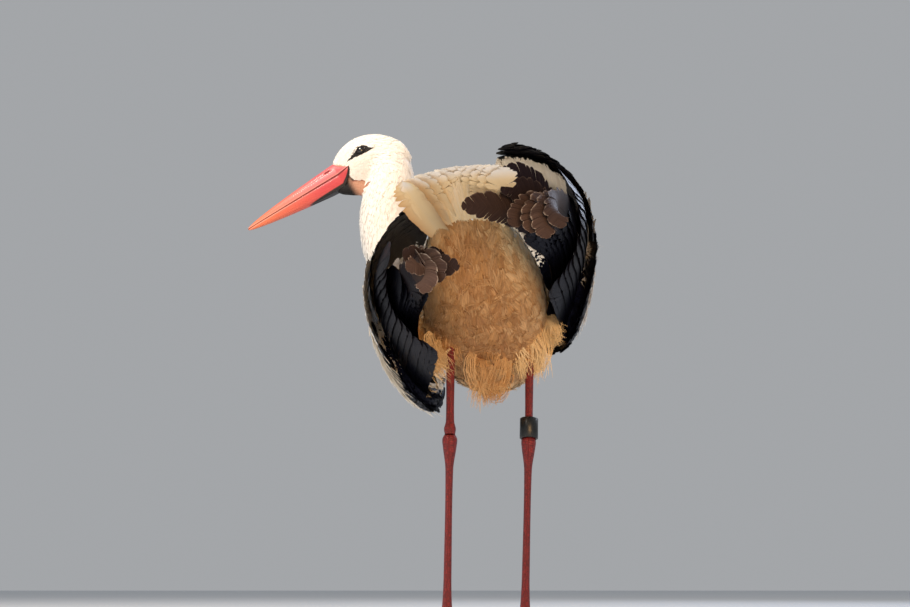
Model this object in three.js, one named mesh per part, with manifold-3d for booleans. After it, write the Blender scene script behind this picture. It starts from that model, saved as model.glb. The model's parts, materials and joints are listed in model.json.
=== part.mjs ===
// A white stork, life size, standing on both feet with its wings loose at its sides and its head turned to
// the left. Millimetres. +Y is the way the body faces, +X is the bird's right and +Z is up; the feet stand on
// Z = 0. Each part of the body is one solid, and solids that touch keep a gap of TOUCH.
import * as THREE from "three";
import { mergeVertices } from "three/addons/utils/BufferGeometryUtils.js";
import Module from "manifold-3d";

const wasm = await Module();
wasm.setup();

const { degToRad: rad, lerp, clamp } = THREE.MathUtils;
const V = (x, y, z) => new THREE.Vector3(x, y, z);

// ---- Driving dimensions ----------------------------------------------------------------------------------

const TOUCH = 0.3; // gap between two solids that touch

// The trunk's frame has its origin in the middle of the body, +Y to the breast and +Z to the back.
const TRUNK_AT = V(10, 20, 449);
const TRUNK_TURN = { pitch: 12, roll: 6, yaw: 8 }; // degrees: breast down, left side down, breast right
// Sections of the trunk from the tail root to the breast: [y, height of centre, half width, half height]
const TRUNK = [
  [-222, 14, 38, 9],
  [-190, 14, 50, 21],
  [-150, 12, 62, 42],
  [-90, 5, 79, 70],
  [-15, 0, 93, 91],
  [55, -6, 96, 97],
  [110, -14, 88, 92],
  [150, -18, 70, 74],
  [178, -18, 46, 49],
  [190, -16, 22, 25],
];
const TRUNK_SIDES = 20;

// The neck leaves the breast to the left, rises in an S and meets the head from below.
const NECK_PATH = [
  V(8, 105, 470),
  V(-40, 166, 484),
  V(-94, 190, 526),
  V(-132, 184, 578),
  V(-142, 166, 628),
  V(-134, 153, 676),
  V(-139, 148, 712),
  V(-153, 148, 729),
];
const NECK_RADII = [68, 68, 66, 62, 54, 47, 41, 28];
const NECK_TOP = 0.8; // share of the path where the neck ends and the head begins
// The ruff's long feathers hang over the foreneck in rows: [share of the path where they root, how many,
// length as a share of the path]
const RUFF = [
  [0.5, 3, 0.17],
  [0.41, 3, 0.2],
  [0.32, 4, 0.2],
];
const RUFF_FACING = V(-0.6, 0.8, -0.3); // the way the foreneck faces
const RUFF_REACH = 66; // degrees that the ruff reaches around the neck to each side
const RUFF_WIDTH = 34;
const RUFF_FLARE = 12; // how far a lock rises along its length, off the neck
const LOCK = [
  [0.05, 0.6],
  [0.4, 1],
  [0.75, 0.7],
];

// The head's own frame has its origin in the middle of the skull, +Y along the bill and +Z to the crown.
const HEAD_AT = V(-169, 150, 721);
const BILL_AIM = V(-1, 0.12, -0.57);
// Sections of the skull from nape to forehead: [y, height of centre, half width, half height]
const HEAD = [
  [-58, -30, 12, 12],
  [-51, -22, 20, 20],
  [-32, -11, 28, 32],
  [-8, -2.5, 30, 37.5],
  [14, -0.5, 27.5, 40],
  [34, -2, 21.5, 39],
  [48, -3, 16, 34],
  [57, -3, 12, 27.5],
  [64, -3, 8, 22],
];
const HEAD_SIDES = 18;
// The slack throat under the chin, in the same form
const THROAT = [
  [22, -34, 7, 12],
  [32, -38, 10, 16],
  [44, -37, 11, 16.5],
  [56, -33, 10.5, 14],
  [68, -28, 9.5, 10],
  [77, -24, 6, 5],
];
const EYE = { x: 25.5, y: 9, z: 4, r: 8.2 };

// The mouth's line behind the bill: its size, its middle's place off the head's middle and its turn
const GAPE = { length: 26, height: 1.2, depth: 2, out: 20.4, at: 36, turn: 19 };
const LID = { thick: 1.4, half: [7, 5.4] }; // eyelids, and half the length and height of the opening
const BILL_LENGTH = 170; // culmen, from the feathers to the tip
const BILL_BASE = 60; // y of the feather line on the culmen
const BILL_HALF_WIDTH = 12;
const BILL_UPPER = 24.5; // height above the mouth line at the base
const BILL_LOWER = 24.5; // depth below it
const BILL_BACK = 38; // y of the corner of the mouth, where both halves of the bill lie over the cheeks
const BILL_FLARE = 0.36; // how far each side flares for each mm behind the feather line
const BILL_HALVES = {
  upper: { height: BILL_UPPER, thinning: 0.62, roundness: 0.92, opening: 1 },
  lower: { height: BILL_LOWER, thinning: 0.68, roundness: 0.62, opening: 0.5 },
};
const MOUTH_Z = -6; // height of the mouth line at the base

// The tail's frame is the trunk's.
const TAIL = { root: V(0, -118, 18), length: 208, spread: 11, halfRoot: 26, droop: 2, arch: 3, count: 10 };

const TAIL_WIDTH = 39;
const TAIL_STEP = 1.9; // how much lower each tail feather lies than the next one inwards
const TAIL_VANE = [
  [0.45, 0.6],
  [0.86, 1],
  [0.975, 0.6],
];

// Each wing lies on an arched shell beside the trunk, told in a frame with its origin in the middle of the
// body and +X outwards: sections from the wing's front to its tips, [y, x and z of the middle, half width,
// half height]
const WING_SHELL = [
  [-300, 2, 58, 48, 46],
  [-250, 14, 62, 66, 62],
  [-200, 26, 66, 84, 74],
  [-150, 36, 62, 96, 84],
  [-80, 46, 50, 97, 96],
  [0, 54, 34, 90, 108],
  [60, 58, 24, 86, 112],
  [120, 58, 20, 76, 98],
  [160, 56, 20, 60, 78],
  [190, 50, 22, 32, 46],
];
// The left wing hangs lower: moved across and down and turned about the body's length. The first
// primary keeps to the angle holdIn from the top outwards and turns in to the angle turnIn at its tip.
const WINGS = {
  right: { side: 1, shift: V(10, 0, 450), roll: 0, holdIn: 124, turnIn: 240 },
  left: { side: -1, shift: V(16, 8, 402), roll: 24, holdIn: 112, turnIn: 156 },
};
// Feather tiers lie on the shell. Each has the places of its first and last feather's root and tip, as
// [y, angle from the top outwards], their depths outside the shell, how late the feathers turn from the
// root's angle to the tip's, and how many there are. Each feather lies over the one before it.
const TIERS = {
  primaries: {
    roots: [[96, 134], [20, 128]],
    tips: [[-262, 0], [-246, 74]],
    depths: [-34, -19],
    bend: 6,
    count: 6,
  },
  secondaries: {
    roots: [[104, 122], [-24, 58]],
    tips: [[-100, 148], [-205, 68]],
    depths: [-10.6, -3.2],
    bend: 1.4,
    count: 7,
  },
  tertials: {
    roots: [[-8, 64], [48, 2]],
    tips: [[-120, 92], [-196, 4]],
    depths: [3.6, 6],
    bend: 1.4,
    count: 6,
  },
};
const TIP_RISE = 11; // how far the primaries' tips come outwards from their depth
const LAST_HOLD = 98; // the angle that the last primary keeps to
const FLIGHT_WIDTH = 49;
// A vane's outline from root to tip: [share of its length, share of its width]
const VANE = [
  [0, 0.28],
  [0.24, 0.66],
  [0.55, 1],
  [0.86, 0.9],
  [0.965, 0.5],
];
// The primaries turn in under the tail near their tips
const VANE_TURNED = [
  [0, 0.3],
  [0.4, 0.7],
  [0.68, 1],
  [0.84, 1],
  [0.955, 0.62],
];
const VANE_TIP = [1, 0.1];
const SHAFT_THICK = 1.2;
const EDGE_THICK = 0.6;
const CAMBER = 190; // twice the radius that a vane curves to, from edge to edge
const TILT = 2.6; // how far a vane's edges stand above and below its shaft, so that each lies over the next
// White coverts: [y, top angle, bottom angle]
const COVERTS = [
  [-70, 8, 66],
  [-20, -8, 90],
  [60, -16, 118],
  [112, -18, 140],
  [150, -12, 142],
  [188, -6, 138],
];

// The rearmost coverts' roots, as [y, angle] from the back down to the wrist, and their size
const COVERT_ROOTS = [
  [0, -48, 14],
  [0.3, -50, 56],
  [0.5, -6, 84],
  [0.75, 58, 110],
  [1, 108, 130],
];
const COVERT_VANE = { count: 7, length: 60, width: 52, depths: [12.6, 9.4] };
const COVERT_STATIONS = [
  [0.2, 0.8],
  [0.7, 1],
  [0.93, 0.6],
];

// The flesh of the wing lies ahead of the line where the feathers root, as [angle, y]
const FLESH_LINE = [
  [-20, 60],
  [20, 34],
  [60, -10],
  [92, 50],
  [122, 112],
  [150, 118],
];
const FLESH_DEEP = 15; // how far the flesh reaches inside the shell, and how much further at the wrist
const WRIST_DEEP = 18;
const HAND = [112, 70, 30, -8]; // y of points along the hand that roots the primaries
const HAND_DEPTH = -26;

const FLOOR = 0;
// Legs: the foot's joint, the heel, where the bare shin leaves the feathers, and the knee inside them
const LEGS = {
  right: { foot: V(66, 68, 9), heel: V(72, 20, 242), top: V(76, 32, 352), knee: V(66, 62, 425) },
  left: { foot: V(-42, 50, 9), heel: V(-38, -12, 240), top: V(-37, 3, 364), knee: V(-38, 46, 425) },
};
const SHIN_R = 5.8;
const HEEL_R = 10.2;
const TARSUS_R = 5.4;
// Toes: [name, length, radius at the root, degrees from straight ahead, outward positive]
const TOES = [
  ["inner", 58, 5.4, -34],
  ["middle", 78, 5.8, -1],
  ["outer", 67, 5.4, 32],
  ["hind", 30, 5.0, 186],
];
const CLAW = 12;
const RING = { inner: 9.6, outer: 12.8, height: 29, above: 1.5 }; // seated on the right heel's shoulders

// ---- Shape tools -----------------------------------------------------------------------------------------

// Reads a table of [at, a, b, ...] rows at t: a smooth curve through its rows, level beyond its ends.
function along(rows, t) {
  const last = rows.length - 1;
  if (t <= rows[0][0]) return rows[0].slice(1);
  if (t >= rows[last][0]) return rows[last].slice(1);
  const i = rows.findIndex((row) => row[0] > t) - 1;
  const [a, b] = [rows[i], rows[i + 1]];
  const before = rows[Math.max(i - 1, 0)];
  const after = rows[Math.min(i + 2, last)];
  const span = b[0] - a[0];
  const s = (t - a[0]) / span;
  return a.slice(1).map((_, c) => {
    const k = c + 1;
    const slopeA = ((b[k] - before[k]) / (b[0] - before[0])) * span;
    const slopeB = ((after[k] - a[k]) / (after[0] - a[0])) * span;
    const [s2, s3] = [s * s, s * s * s];
    const ends = (2 * s3 - 3 * s2 + 1) * a[k] + (3 * s2 - 2 * s3) * b[k];
    return ends + (s3 - 2 * s2 + s) * slopeA + (s3 - s2) * slopeB;
  });
}

// Evenly spaced numbers from a to b, n + 1 of them.
const steps = (a, b, n) => Array.from({ length: n + 1 }, (_, i) => lerp(a, b, i / n));

// Whole numbers from a to b, up or down.
const count = (a, b) => Array.from({ length: Math.abs(b - a) + 1 }, (_, i) => a + i * Math.sign(b - a));

// A closed solid from points and triangles, turned so that its faces point out.
function solid(points, triangles) {
  const geometry = new THREE.BufferGeometry().setFromPoints(points);
  geometry.setIndex(triangles.flat());
  const merged = mergeVertices(geometry, 1e-4);
  const made = (index) =>
    new wasm.Manifold(
      new wasm.Mesh({
        numProp: 3,
        vertProperties: merged.attributes.position.array,
        triVerts: new Uint32Array(index),
      }),
    );
  const index = [...merged.index.array];
  const first = made(index);
  return first.volume() > 0 ? first : made(index.reverse());
}

// A solid through rings of points, closed at both ends by a fan.
function loft(rings) {
  const n = rings[0].length;
  const points = rings.flat();
  const triangles = [];
  for (let i = 0; i + 1 < rings.length; i++)
    for (let j = 0; j < n; j++) {
      const [a, b] = [i * n + j, i * n + ((j + 1) % n)];
      triangles.push([a, b, b + n], [a, b + n, a + n]);
    }
  for (const [start, flip] of [
    [0, true],
    [(rings.length - 1) * n, false],
  ]) {
    const ring = points.slice(start, start + n);
    const middle = points.push(ring.reduce((sum, p) => sum.add(p), V(0, 0, 0)).divideScalar(n)) - 1;
    for (let j = 0; j < n; j++) {
      const [a, b] = [start + j, start + ((j + 1) % n)];
      triangles.push(flip ? [b, a, middle] : [a, b, middle]);
    }
  }
  return solid(points, triangles);
}

// A thin solid between two grids of points, split into triangles alike on both faces.
function slab(outer, inner) {
  const [rows, cols] = [outer.length, outer[0].length];
  const points = [...outer.flat(), ...inner.flat()];
  const under = rows * cols;
  const at = (i, j) => i * cols + j;
  const triangles = [];
  for (let i = 0; i + 1 < rows; i++)
    for (let j = 0; j + 1 < cols; j++) {
      const [a, b, c, d] = [at(i, j), at(i, j + 1), at(i + 1, j + 1), at(i + 1, j)];
      triangles.push([a, b, c], [a, c, d]);
      triangles.push([under + c, under + b, under + a], [under + d, under + c, under + a]);
    }
  const rim = [
    ...count(0, cols - 1).map((j) => at(0, j)),
    ...count(1, rows - 1).map((i) => at(i, cols - 1)),
    ...count(cols - 2, 0).map((j) => at(rows - 1, j)),
    ...count(rows - 2, 1).map((i) => at(i, 0)),
  ];
  rim.forEach((a, k) => {
    const b = rim[(k + 1) % rim.length];
    triangles.push([b, a, under + a], [b, under + a, under + b]);
  });
  return solid(points, triangles);
}

// An oval ring of points: e > 2 squares it off a little.
function oval(centre, across, up, halfWidth, halfHeight, sides, e = 2) {
  const bend = (v) => Math.sign(v) * Math.abs(v) ** (2 / e);
  return Array.from({ length: sides }, (_, j) => {
    const a = (j / sides) * 2 * Math.PI;
    return centre
      .clone()
      .addScaledVector(across, halfWidth * bend(Math.sin(a)))
      .addScaledVector(up, halfHeight * bend(Math.cos(a)));
  });
}

// A round solid along a path, its rings carried along without twist.
function tube(path, radius, sides, rows) {
  const curve = new THREE.CatmullRomCurve3(path, false, "centripetal");
  let across = V(1, 0, 0);
  const rings = steps(0, 1, rows).map((t) => {
    const along1 = curve.getTangentAt(t);
    across = across.clone().addScaledVector(along1, -across.dot(along1)).normalize();
    const over = across.clone().cross(along1);
    return oval(curve.getPointAt(t), across, over, radius(t), radius(t), sides);
  });
  return loft(rings);
}

// Part of a surface as a slab. place(t, s, lift) is a point of the surface, lifted off it.
function sheet(place, [t0, t1], [s0, s1], [under, over], cols, rows) {
  const face = (lift) =>
    steps(s0, s1, rows).map((s) => {
      const lifted = lift((s - s0) / (s1 - s0));
      return steps(t0, t1, cols).map((t) => place(t, s, lifted));
    });
  return slab(face(over), face(under));
}

// A feather's vane along place(t, s, lift), s from root to tip, tilted so that it lies over the vane at a
// lower t: a thin solid of three points across each station, thickest at the shaft.
function vane(place, t, { width, tilt = TILT, camber = CAMBER, length = 1, stations = VANE }) {
  const face = (turn) =>
    [...stations, VANE_TIP].map(([s, share]) => {
      const at = s * length;
      const centre = place(t, at, 0);
      const ahead = place(t, at + 0.01, 0).sub(place(t, at - 0.01, 0)).normalize();
      const out = place(t, at, 1).sub(centre);
      const across = ahead.clone().cross(out).normalize();
      const up = across.clone().cross(ahead);
      const next = place(t + 0.02, at, 0).sub(place(t - 0.02, at, 0));
      const lean = across.dot(next) > 0 ? -tilt : tilt;
      const half = (width / 2) * share;
      const rise = clamp(s / 0.4, 0, 1);
      return [-1, 0, 1].map((side) => {
        const thick = turn * (side ? EDGE_THICK : SHAFT_THICK);
        const bent = side * lean * share * rise - (side * half) ** 2 / camber;
        return centre.clone().addScaledVector(across, side * half).addScaledVector(up, bent + thick / 2);
      });
    });
  return slab(face(1), face(-1));
}

// Joins solids and keeps the largest closed body of the result.
function fuse(...solids) {
  const bodies = wasm.Manifold.union(solids).decompose();
  return bodies.reduce((best, body) => (body.volume() > best.volume() ? body : best));
}
const largest = (made) => fuse(made);

const placed = (made, matrix) => made.transform(matrix.elements);

// Repeatable random numbers from -1 to 1.
let seed = 7;
function noise() {
  seed = (seed * 16807) % 2147483647;
  return (seed / 2147483647) * 2 - 1;
}

// ---- Frames ----------------------------------------------------------------------------------------------

const { pitch, roll, yaw } = TRUNK_TURN;
const trunkFrame = new THREE.Matrix4()
  .makeRotationFromEuler(new THREE.Euler(rad(-pitch), rad(-roll), rad(-yaw), "ZXY"))
  .setPosition(TRUNK_AT);
const ahead = BILL_AIM.clone().normalize();
const crown = V(0, 0, 1).addScaledVector(ahead, -ahead.z).normalize();
const headSide = ahead.clone().cross(crown);
const headFrame = new THREE.Matrix4().makeBasis(headSide, ahead, crown).setPosition(HEAD_AT);

// ---- Trunk, neck and head --------------------------------------------------------------------------------

// A round body through rows of [y, height of centre, half width, half height].
function barrel(rows, sides, rings, squareness, grow) {
  const [first, last] = [rows[0][0], rows.at(-1)[0]];
  return loft(
    steps(first, last, rings).map((y) => {
      const [z, w, h] = along(rows, y);
      const end = y === first ? -grow : y === last ? grow : 0;
      return oval(V(0, y + end, z), V(1, 0, 0), V(0, 0, 1), w + grow, h + grow, sides, squareness);
    }),
  );
}
const trunk = (grow = 0) => placed(barrel(TRUNK, TRUNK_SIDES, 13, 2.15, grow), trunkFrame);
const skull = (grow = 0) => placed(barrel(HEAD, HEAD_SIDES, 10, 2.1, grow), headFrame);
const throat = (grow = 0) => placed(barrel(THROAT, 10, 5, 2.1, grow), headFrame);

const neckCurve = new THREE.CatmullRomCurve3(NECK_PATH, false, "centripetal");
const neckRows = NECK_RADII.map((r, i) => [i / (NECK_RADII.length - 1), r]);
const neckTube = (grow = 0) => tube(NECK_PATH, (t) => along(neckRows, t)[0] + grow, 16, 14);
const neckEnd = neckCurve.getPointAt(NECK_TOP);
const neckAim = neckCurve.getTangentAt(NECK_TOP);
const above = (made, gap) => made.trimByPlane(neckAim.toArray(), neckEnd.dot(neckAim) + gap);
const below = (made, gap) => made.trimByPlane(neckAim.clone().negate().toArray(), gap - neckEnd.dot(neckAim));

function fromGeometry(geometry) {
  const bare = geometry.clone();
  bare.deleteAttribute("normal");
  bare.deleteAttribute("uv");
  const merged = mergeVertices(bare, 1e-4);
  return new wasm.Manifold(
    new wasm.Mesh({
      numProp: 3,
      vertProperties: merged.attributes.position.array,
      triVerts: new Uint32Array(merged.index.array),
    }),
  );
}

// The foreneck's surface at share u of the neck's path, `turn` degrees around from its front, lifted off it.
function foreneck(u, turn, lift) {
  const aim = neckCurve.getTangentAt(u);
  const front = RUFF_FACING.clone().addScaledVector(aim, -RUFF_FACING.dot(aim)).normalize();
  const side = aim.clone().cross(front);
  const reach = along(neckRows, u)[0] + lift;
  return neckCurve
    .getPointAt(u)
    .addScaledVector(front, reach * Math.cos(rad(turn)))
    .addScaledVector(side, reach * Math.sin(rad(turn)));
}

// Flat tapered locks, each row's over the next row's roots.
function ruff() {
  return RUFF.flatMap(([root, number, length], row) =>
    count(0, number - 1).map((i) => {
      const share = (2 * i + 1) / number - 1;
      const turn = share * RUFF_REACH + 4 * noise();
      const span = length * (1 + 0.12 * noise());
      const place = (t, s, lift) =>
        foreneck(root - s * span, turn + t - 6 * s * share, lift - 3 + RUFF_FLARE * s + row % 2);
      return vane(place, 0, { width: RUFF_WIDTH, tilt: 0, camber: 150, stations: LOCK });
    }),
  );
}

function eyeball(side, grow = 0) {
  const geometry = new THREE.SphereGeometry(EYE.r + grow, 12, 8);
  geometry.rotateZ(Math.PI / 2).translate(side * (EYE.x - EYE.r * 0.45), EYE.y, EYE.z);
  return placed(fromGeometry(geometry), headFrame);
}

// Both eyelids of one eye: a shell over the eyeball with an almond opening.
function eyelids(side) {
  const opening = new THREE.SphereGeometry(1, 12, 6);
  opening.rotateZ(Math.PI / 2).scale(9, ...LID.half).translate(side * (EYE.x + EYE.r * 0.6), EYE.y, EYE.z);
  const shell = eyeball(side, LID.thick + TOUCH).subtract(eyeball(side, TOUCH));
  return shell.subtract(placed(fromGeometry(opening), headFrame));
}

// The groove of the mouth's line in one cheek.
function gape(side) {
  const slot = new THREE.BoxGeometry(2 * GAPE.depth, GAPE.length, GAPE.height);
  slot.rotateZ(side * rad(GAPE.turn)).translate(side * GAPE.out, GAPE.at, MOUTH_Z);
  return placed(fromGeometry(slot), headFrame);
}

// ---- Bill ------------------------------------------------------------------------------------------------

// Half of the bill from the corner of the mouth to its tip: upper is +1 for the upper half and -1 for the
// lower, which is flatter underneath.
function billHalf(upper) {
  const end = BILL_BASE + BILL_LENGTH;
  const { height, thinning, roundness, opening } = BILL_HALVES[upper > 0 ? "upper" : "lower"];
  const rings = [0, 0.04, 0.08, 0.13, 0.25, 0.4, 0.55, 0.7, 0.82, 0.91, 0.97, 1].map((s) => {
    const y = lerp(BILL_BACK, end, s);
    const taper = 1 - clamp((y - BILL_BASE) / BILL_LENGTH, 0, 1);
    const opened = clamp((y - BILL_BACK) / (BILL_BASE - BILL_BACK), 0, 1) ** opening;
    const w = lerp(1.2, BILL_HALF_WIDTH, taper ** 0.75) + BILL_FLARE * Math.max(0, BILL_BASE - y);
    const h = lerp(1.3, height, Math.min(taper ** thinning, opened));
    const mouth = MOUTH_Z + upper * (TOUCH / 2);
    return count(0, 10).map((j) => {
      const a = rad(lerp(-90, 90, j / 10));
      const x = Math.sign(a) * Math.abs(Math.sin(a)) ** roundness;
      const z = Math.max(0, Math.cos(a)) ** roundness;
      return V(w * x, y, mouth + upper * h * z);
    });
  });
  return placed(loft(rings), headFrame);
}

function nostril(side) {
  const slot = new THREE.BoxGeometry(9, 11, 1.9);
  slot.rotateX(rad(-3)).translate(side * 12, BILL_BASE + 14, MOUTH_Z + 14);
  return placed(fromGeometry(slot), headFrame);
}

// ---- Wings -----------------------------------------------------------------------------------------------

// The point of a wing's shell at y, turned `angle` degrees from the top outwards, `depth` mm outside it.
function wingPoint(name, y, angle, depth) {
  const { side, shift, roll: lean } = WINGS[name];
  const [x, z, w, h] = along(WING_SHELL, y);
  const [s, c] = [Math.sin(rad(angle)), Math.cos(rad(angle))];
  const point = V(side * (x + (w + depth) * s), y, z + (h + depth) * c);
  return point.applyAxisAngle(V(0, 1, 0), -rad(lean)).add(shift);
}

// A tier's surface: the point at t (first feather to last) and s (root to tip), lifted off it.
function tierPlace(name, { roots, tips, bend, depths, rise = 0, hold }) {
  const mix = ([a, b], t) => [lerp(a[0], b[0], t), lerp(a[1], b[1], t)];
  return (t, s, lift) => {
    const [root, tip] = [mix(roots, t), mix(tips, t)];
    const held = hold ? lerp(root[1], lerp(...hold, t), clamp(s / 0.45, 0, 1)) : root[1];
    const angle = lerp(held, tip[1], Math.max(0, s) ** bend);
    return wingPoint(name, lerp(root[0], tip[0], s), angle, lerp(...depths, t) + rise * s * s + lift);
  };
}

// A tier's vanes, joined at their roots by a strip along the arm or by the hand.
function tierVanes(name, tierName) {
  const turned = tierName === "primaries";
  const tier = { ...TIERS[tierName] };
  if (turned) {
    tier.rise = TIP_RISE;
    tier.hold = [WINGS[name].holdIn, LAST_HOLD];
    tier.tips = [[tier.tips[0][0], WINGS[name].turnIn], tier.tips[1]];
  }
  const place = tierPlace(name, tier);
  const hand = () => {
    const path = HAND.map((y) => wingPoint(name, y, tier.roots[0][1], HAND_DEPTH));
    return tube(path, (t) => lerp(12, 6, t), 8, 5);
  };
  const strip = () =>
    sheet(place, [-0.03, 1.03], [-0.04, 0.17], [(u) => lerp(-2.6, -1.5, u), (u) => lerp(2.6, 1.5, u)], 7, 2);
  const flatter = turned ? { tilt: 0.5, camber: 400, stations: VANE_TURNED } : {};
  const vanes = count(0, tier.count - 1).map((i) => {
    const t = clamp(i / (tier.count - 1) + 0.01 * noise(), 0, 1);
    const width = FLIGHT_WIDTH * (1 + 0.08 * noise());
    const length = 1 - 0.03 * Math.abs(noise());
    return vane(place, t, { width, length, ...flatter });
  });
  return fuse(turned ? hand() : strip(), ...vanes);
}

function coverts(name, grow = 0) {
  const [back, front] = [COVERTS[0][0], COVERTS.at(-1)[0]];
  const face = (depth) =>
    steps(back - grow, front + grow, 10).map((y) => {
      const [top, bottom] = along(COVERTS, y);
      const angles = steps(top - grow, bottom + grow, 7);
      return angles.map((angle, j) => wingPoint(name, y, angle, depth(y, angle, j / 7)));
    });
  const inner = (y, angle) => {
    const ahead1 = clamp((y - along(FLESH_LINE, angle)[0]) / 18, 0, 1);
    return lerp(10, -FLESH_DEEP - WRIST_DEEP * clamp((angle - 95) / 35, 0, 1), ahead1) - grow;
  };
  const shell = slab(
    face((y, angle, across) => lerp(12, 14.5, Math.sin(Math.PI * across)) + grow),
    face(inner),
  );
  const { side, shift, roll: lean } = WINGS[name];
  const shoulder = new THREE.SphereGeometry(1, 12, 8);
  shoulder.scale(48 + grow, 58 + grow, 56 + grow).translate(side * 90, 96, 52);
  shoulder.rotateY(-rad(lean)).translate(...shift);
  const place = (t, s, lift) => {
    const [y, angle] = along(COVERT_ROOTS, t);
    const depth = lerp(...COVERT_VANE.depths, s) + grow + lift;
    return wingPoint(name, y - s * COVERT_VANE.length, angle + 5 * s, depth);
  };
  const vanes = count(0, COVERT_VANE.count - 1).map((i) => {
    const t = i / (COVERT_VANE.count - 1);
    return vane(place, 1 - t, { width: COVERT_VANE.width + 2 * grow, tilt: -1.2, stations: COVERT_STATIONS });
  });
  return fuse(shell, fromGeometry(shoulder), ...vanes);
}

// ---- Tail ------------------------------------------------------------------------------------------------

// A point of the tail at s (root to tip) and out (-1 left edge, 1 right edge), lifted off its surface.
function tailPoint(s, out, lift) {
  const far = s * TAIL.length;
  const x = out * (TAIL.halfRoot + far * Math.tan(rad(TAIL.spread)));
  const drop = far * Math.sin(rad(TAIL.droop)) + TAIL.arch * out * out * (0.4 + s);
  return V(x, TAIL.root.y - far, TAIL.root.z - drop + lift).applyMatrix4(trunkFrame);
}

function tail() {
  const place = (t, s, lift) => {
    const out = 2 * t - 1;
    return tailPoint(s, out, lift - (TAIL_STEP * Math.abs(out) * TAIL.count) / 2);
  };
  const [under, over] = [(u) => lerp(-8, -1.4, u), (u) => lerp(7, 1.4, u)];
  const pad = sheet(place, [0.04, 0.96], [0.3, 0.56], [under, over], 8, 2);
  const vanes = count(0, TAIL.count - 1).map((i) => {
    const t = (i + 0.5) / TAIL.count;
    const length = 1 - 0.05 * (2 * t - 1) ** 2 - 0.015 * Math.abs(noise());
    const own = (at, s, lift) => {
      const aside = tailPoint(s, 2 * at - 1, 0).sub(tailPoint(s, 2 * t - 1, 0));
      return place(t, s, lift + (i % 2) * 0.4).add(aside);
    };
    const tilt = t < 0.5 ? 0.8 : -0.8;
    return vane(own, t, { width: TAIL_WIDTH, tilt, camber: 700, length, stations: TAIL_VANE });
  });
  return fuse(pad, ...vanes);
}

// ---- Legs ------------------------------------------------------------------------------------------------

// A round solid between two points, in level rings, with [share, radius] rows.
function level(from, to, rows, sides, rings, deep = 1) {
  return loft(
    steps(0, 1, rings).map((t) => {
      const r = along(rows, t)[0];
      return oval(from.clone().lerp(to, t), V(1, 0, 0), V(0, 1, 0), r, r * deep, sides);
    }),
  );
}

function thigh(leg, grow = 0) {
  const rows = [
    [0, 10 + grow],
    [0.16, 20 + grow],
    [0.45, 35 + grow],
    [0.8, 42 + grow],
    [1, 43 + grow],
  ];
  const raised = (p, by) => p.clone().add(V(0, 0, by));
  return level(raised(leg.top, -grow), raised(leg.knee, grow), rows, 14, 6);
}

function shin(leg) {
  const rows = [
    [0, 7],
    [0.06, HEEL_R * 0.8],
    [0.14, SHIN_R],
    [0.6, SHIN_R],
    [1, SHIN_R * 1.08],
  ];
  return level(leg.heel.clone().add(V(0, 0, 5)), leg.top.clone().add(V(0, 0, -TOUCH)), rows, 10, 8);
}

function tarsus(leg) {
  const rows = [
    [0, 7.4],
    [0.07, 6.2],
    [0.2, TARSUS_R],
    [0.8, TARSUS_R],
    [0.93, HEEL_R * 0.92],
    [0.975, HEEL_R],
    [1, 7.2],
  ];
  const [low, high] = [leg.foot.clone().add(V(0, 0, 4)), leg.heel.clone().add(V(0, 0, 5 - TOUCH))];
  return level(low, high, rows, 10, 12, 1.15);
}

function toeAim(side, turn) {
  const a = rad(side * turn);
  return V(Math.sin(a), Math.cos(a), 0);
}

// A toe's section at share t: a round top over a flat sole on the floor.
function toeRing(start, aim, t, length, radius) {
  const side = V(aim.y, -aim.x, 0);
  const r = radius * lerp(1, 0.62, t);
  const height = lerp(9, 5.4, t);
  return count(0, 7).map((j) => {
    const a = ((j + 0.5) / 8) * 2 * Math.PI;
    const z = Math.max(FLOOR, height / 2 + Math.cos(a) * (height / 2 + 0.8));
    const middle = start.clone().addScaledVector(aim, length * t);
    return middle.addScaledVector(side, Math.sin(a) * r).setZ(z);
  });
}

function foot(side, leg) {
  const start = leg.foot.clone().setZ(0);
  const toes = TOES.map(([, length, radius, turn]) =>
    loft(steps(-0.04, 1, 3).map((t) => toeRing(start, toeAim(side, turn), t, length, radius))),
  );
  const palm = level(start, start.clone().setZ(13 - TOUCH), [[0, 8], [0.6, 8.4], [1, 7.4]], 12, 4);
  return fuse(...toes, palm);
}

function claw(side, leg, [, length, radius, turn]) {
  const aim = toeAim(side, turn);
  const start = leg.foot.clone().setZ(0).addScaledVector(aim, length + TOUCH);
  const across = V(aim.y, -aim.x, 0);
  const rings = steps(0, 1, 3).map((t) => {
    const r = radius * 0.56 * (1 - 0.78 * t);
    const centre = start.clone().addScaledVector(aim, CLAW * t).setZ(lerp(3.4, 1.3, t * t));
    return oval(centre, across, V(0, 0, 1), r, Math.min(r, centre.z - 0.4), 6);
  });
  return loft(rings);
}

function ring(leg, grow = 0) {
  const lean = leg.top.clone().sub(leg.heel).normalize();
  const { height, above: rise } = RING;
  const centre = leg.heel.clone().addScaledVector(lean, rise + height / 2);
  const [inner, outer, half] = [RING.inner - grow, RING.outer + grow, height / 2 + grow];
  const profile = [
    [inner, -half],
    [outer, -half],
    [outer, half],
    [inner, half],
    [inner, -half],
  ].map(([r, y]) => new THREE.Vector2(r, y));
  const geometry = new THREE.LatheGeometry(profile, 20);
  geometry.applyQuaternion(new THREE.Quaternion().setFromUnitVectors(V(0, 1, 0), lean));
  geometry.translate(centre.x, centre.y, centre.z);
  return fromGeometry(geometry);
}

// ---- Materials and scene graph ---------------------------------------------------------------------------

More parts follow.
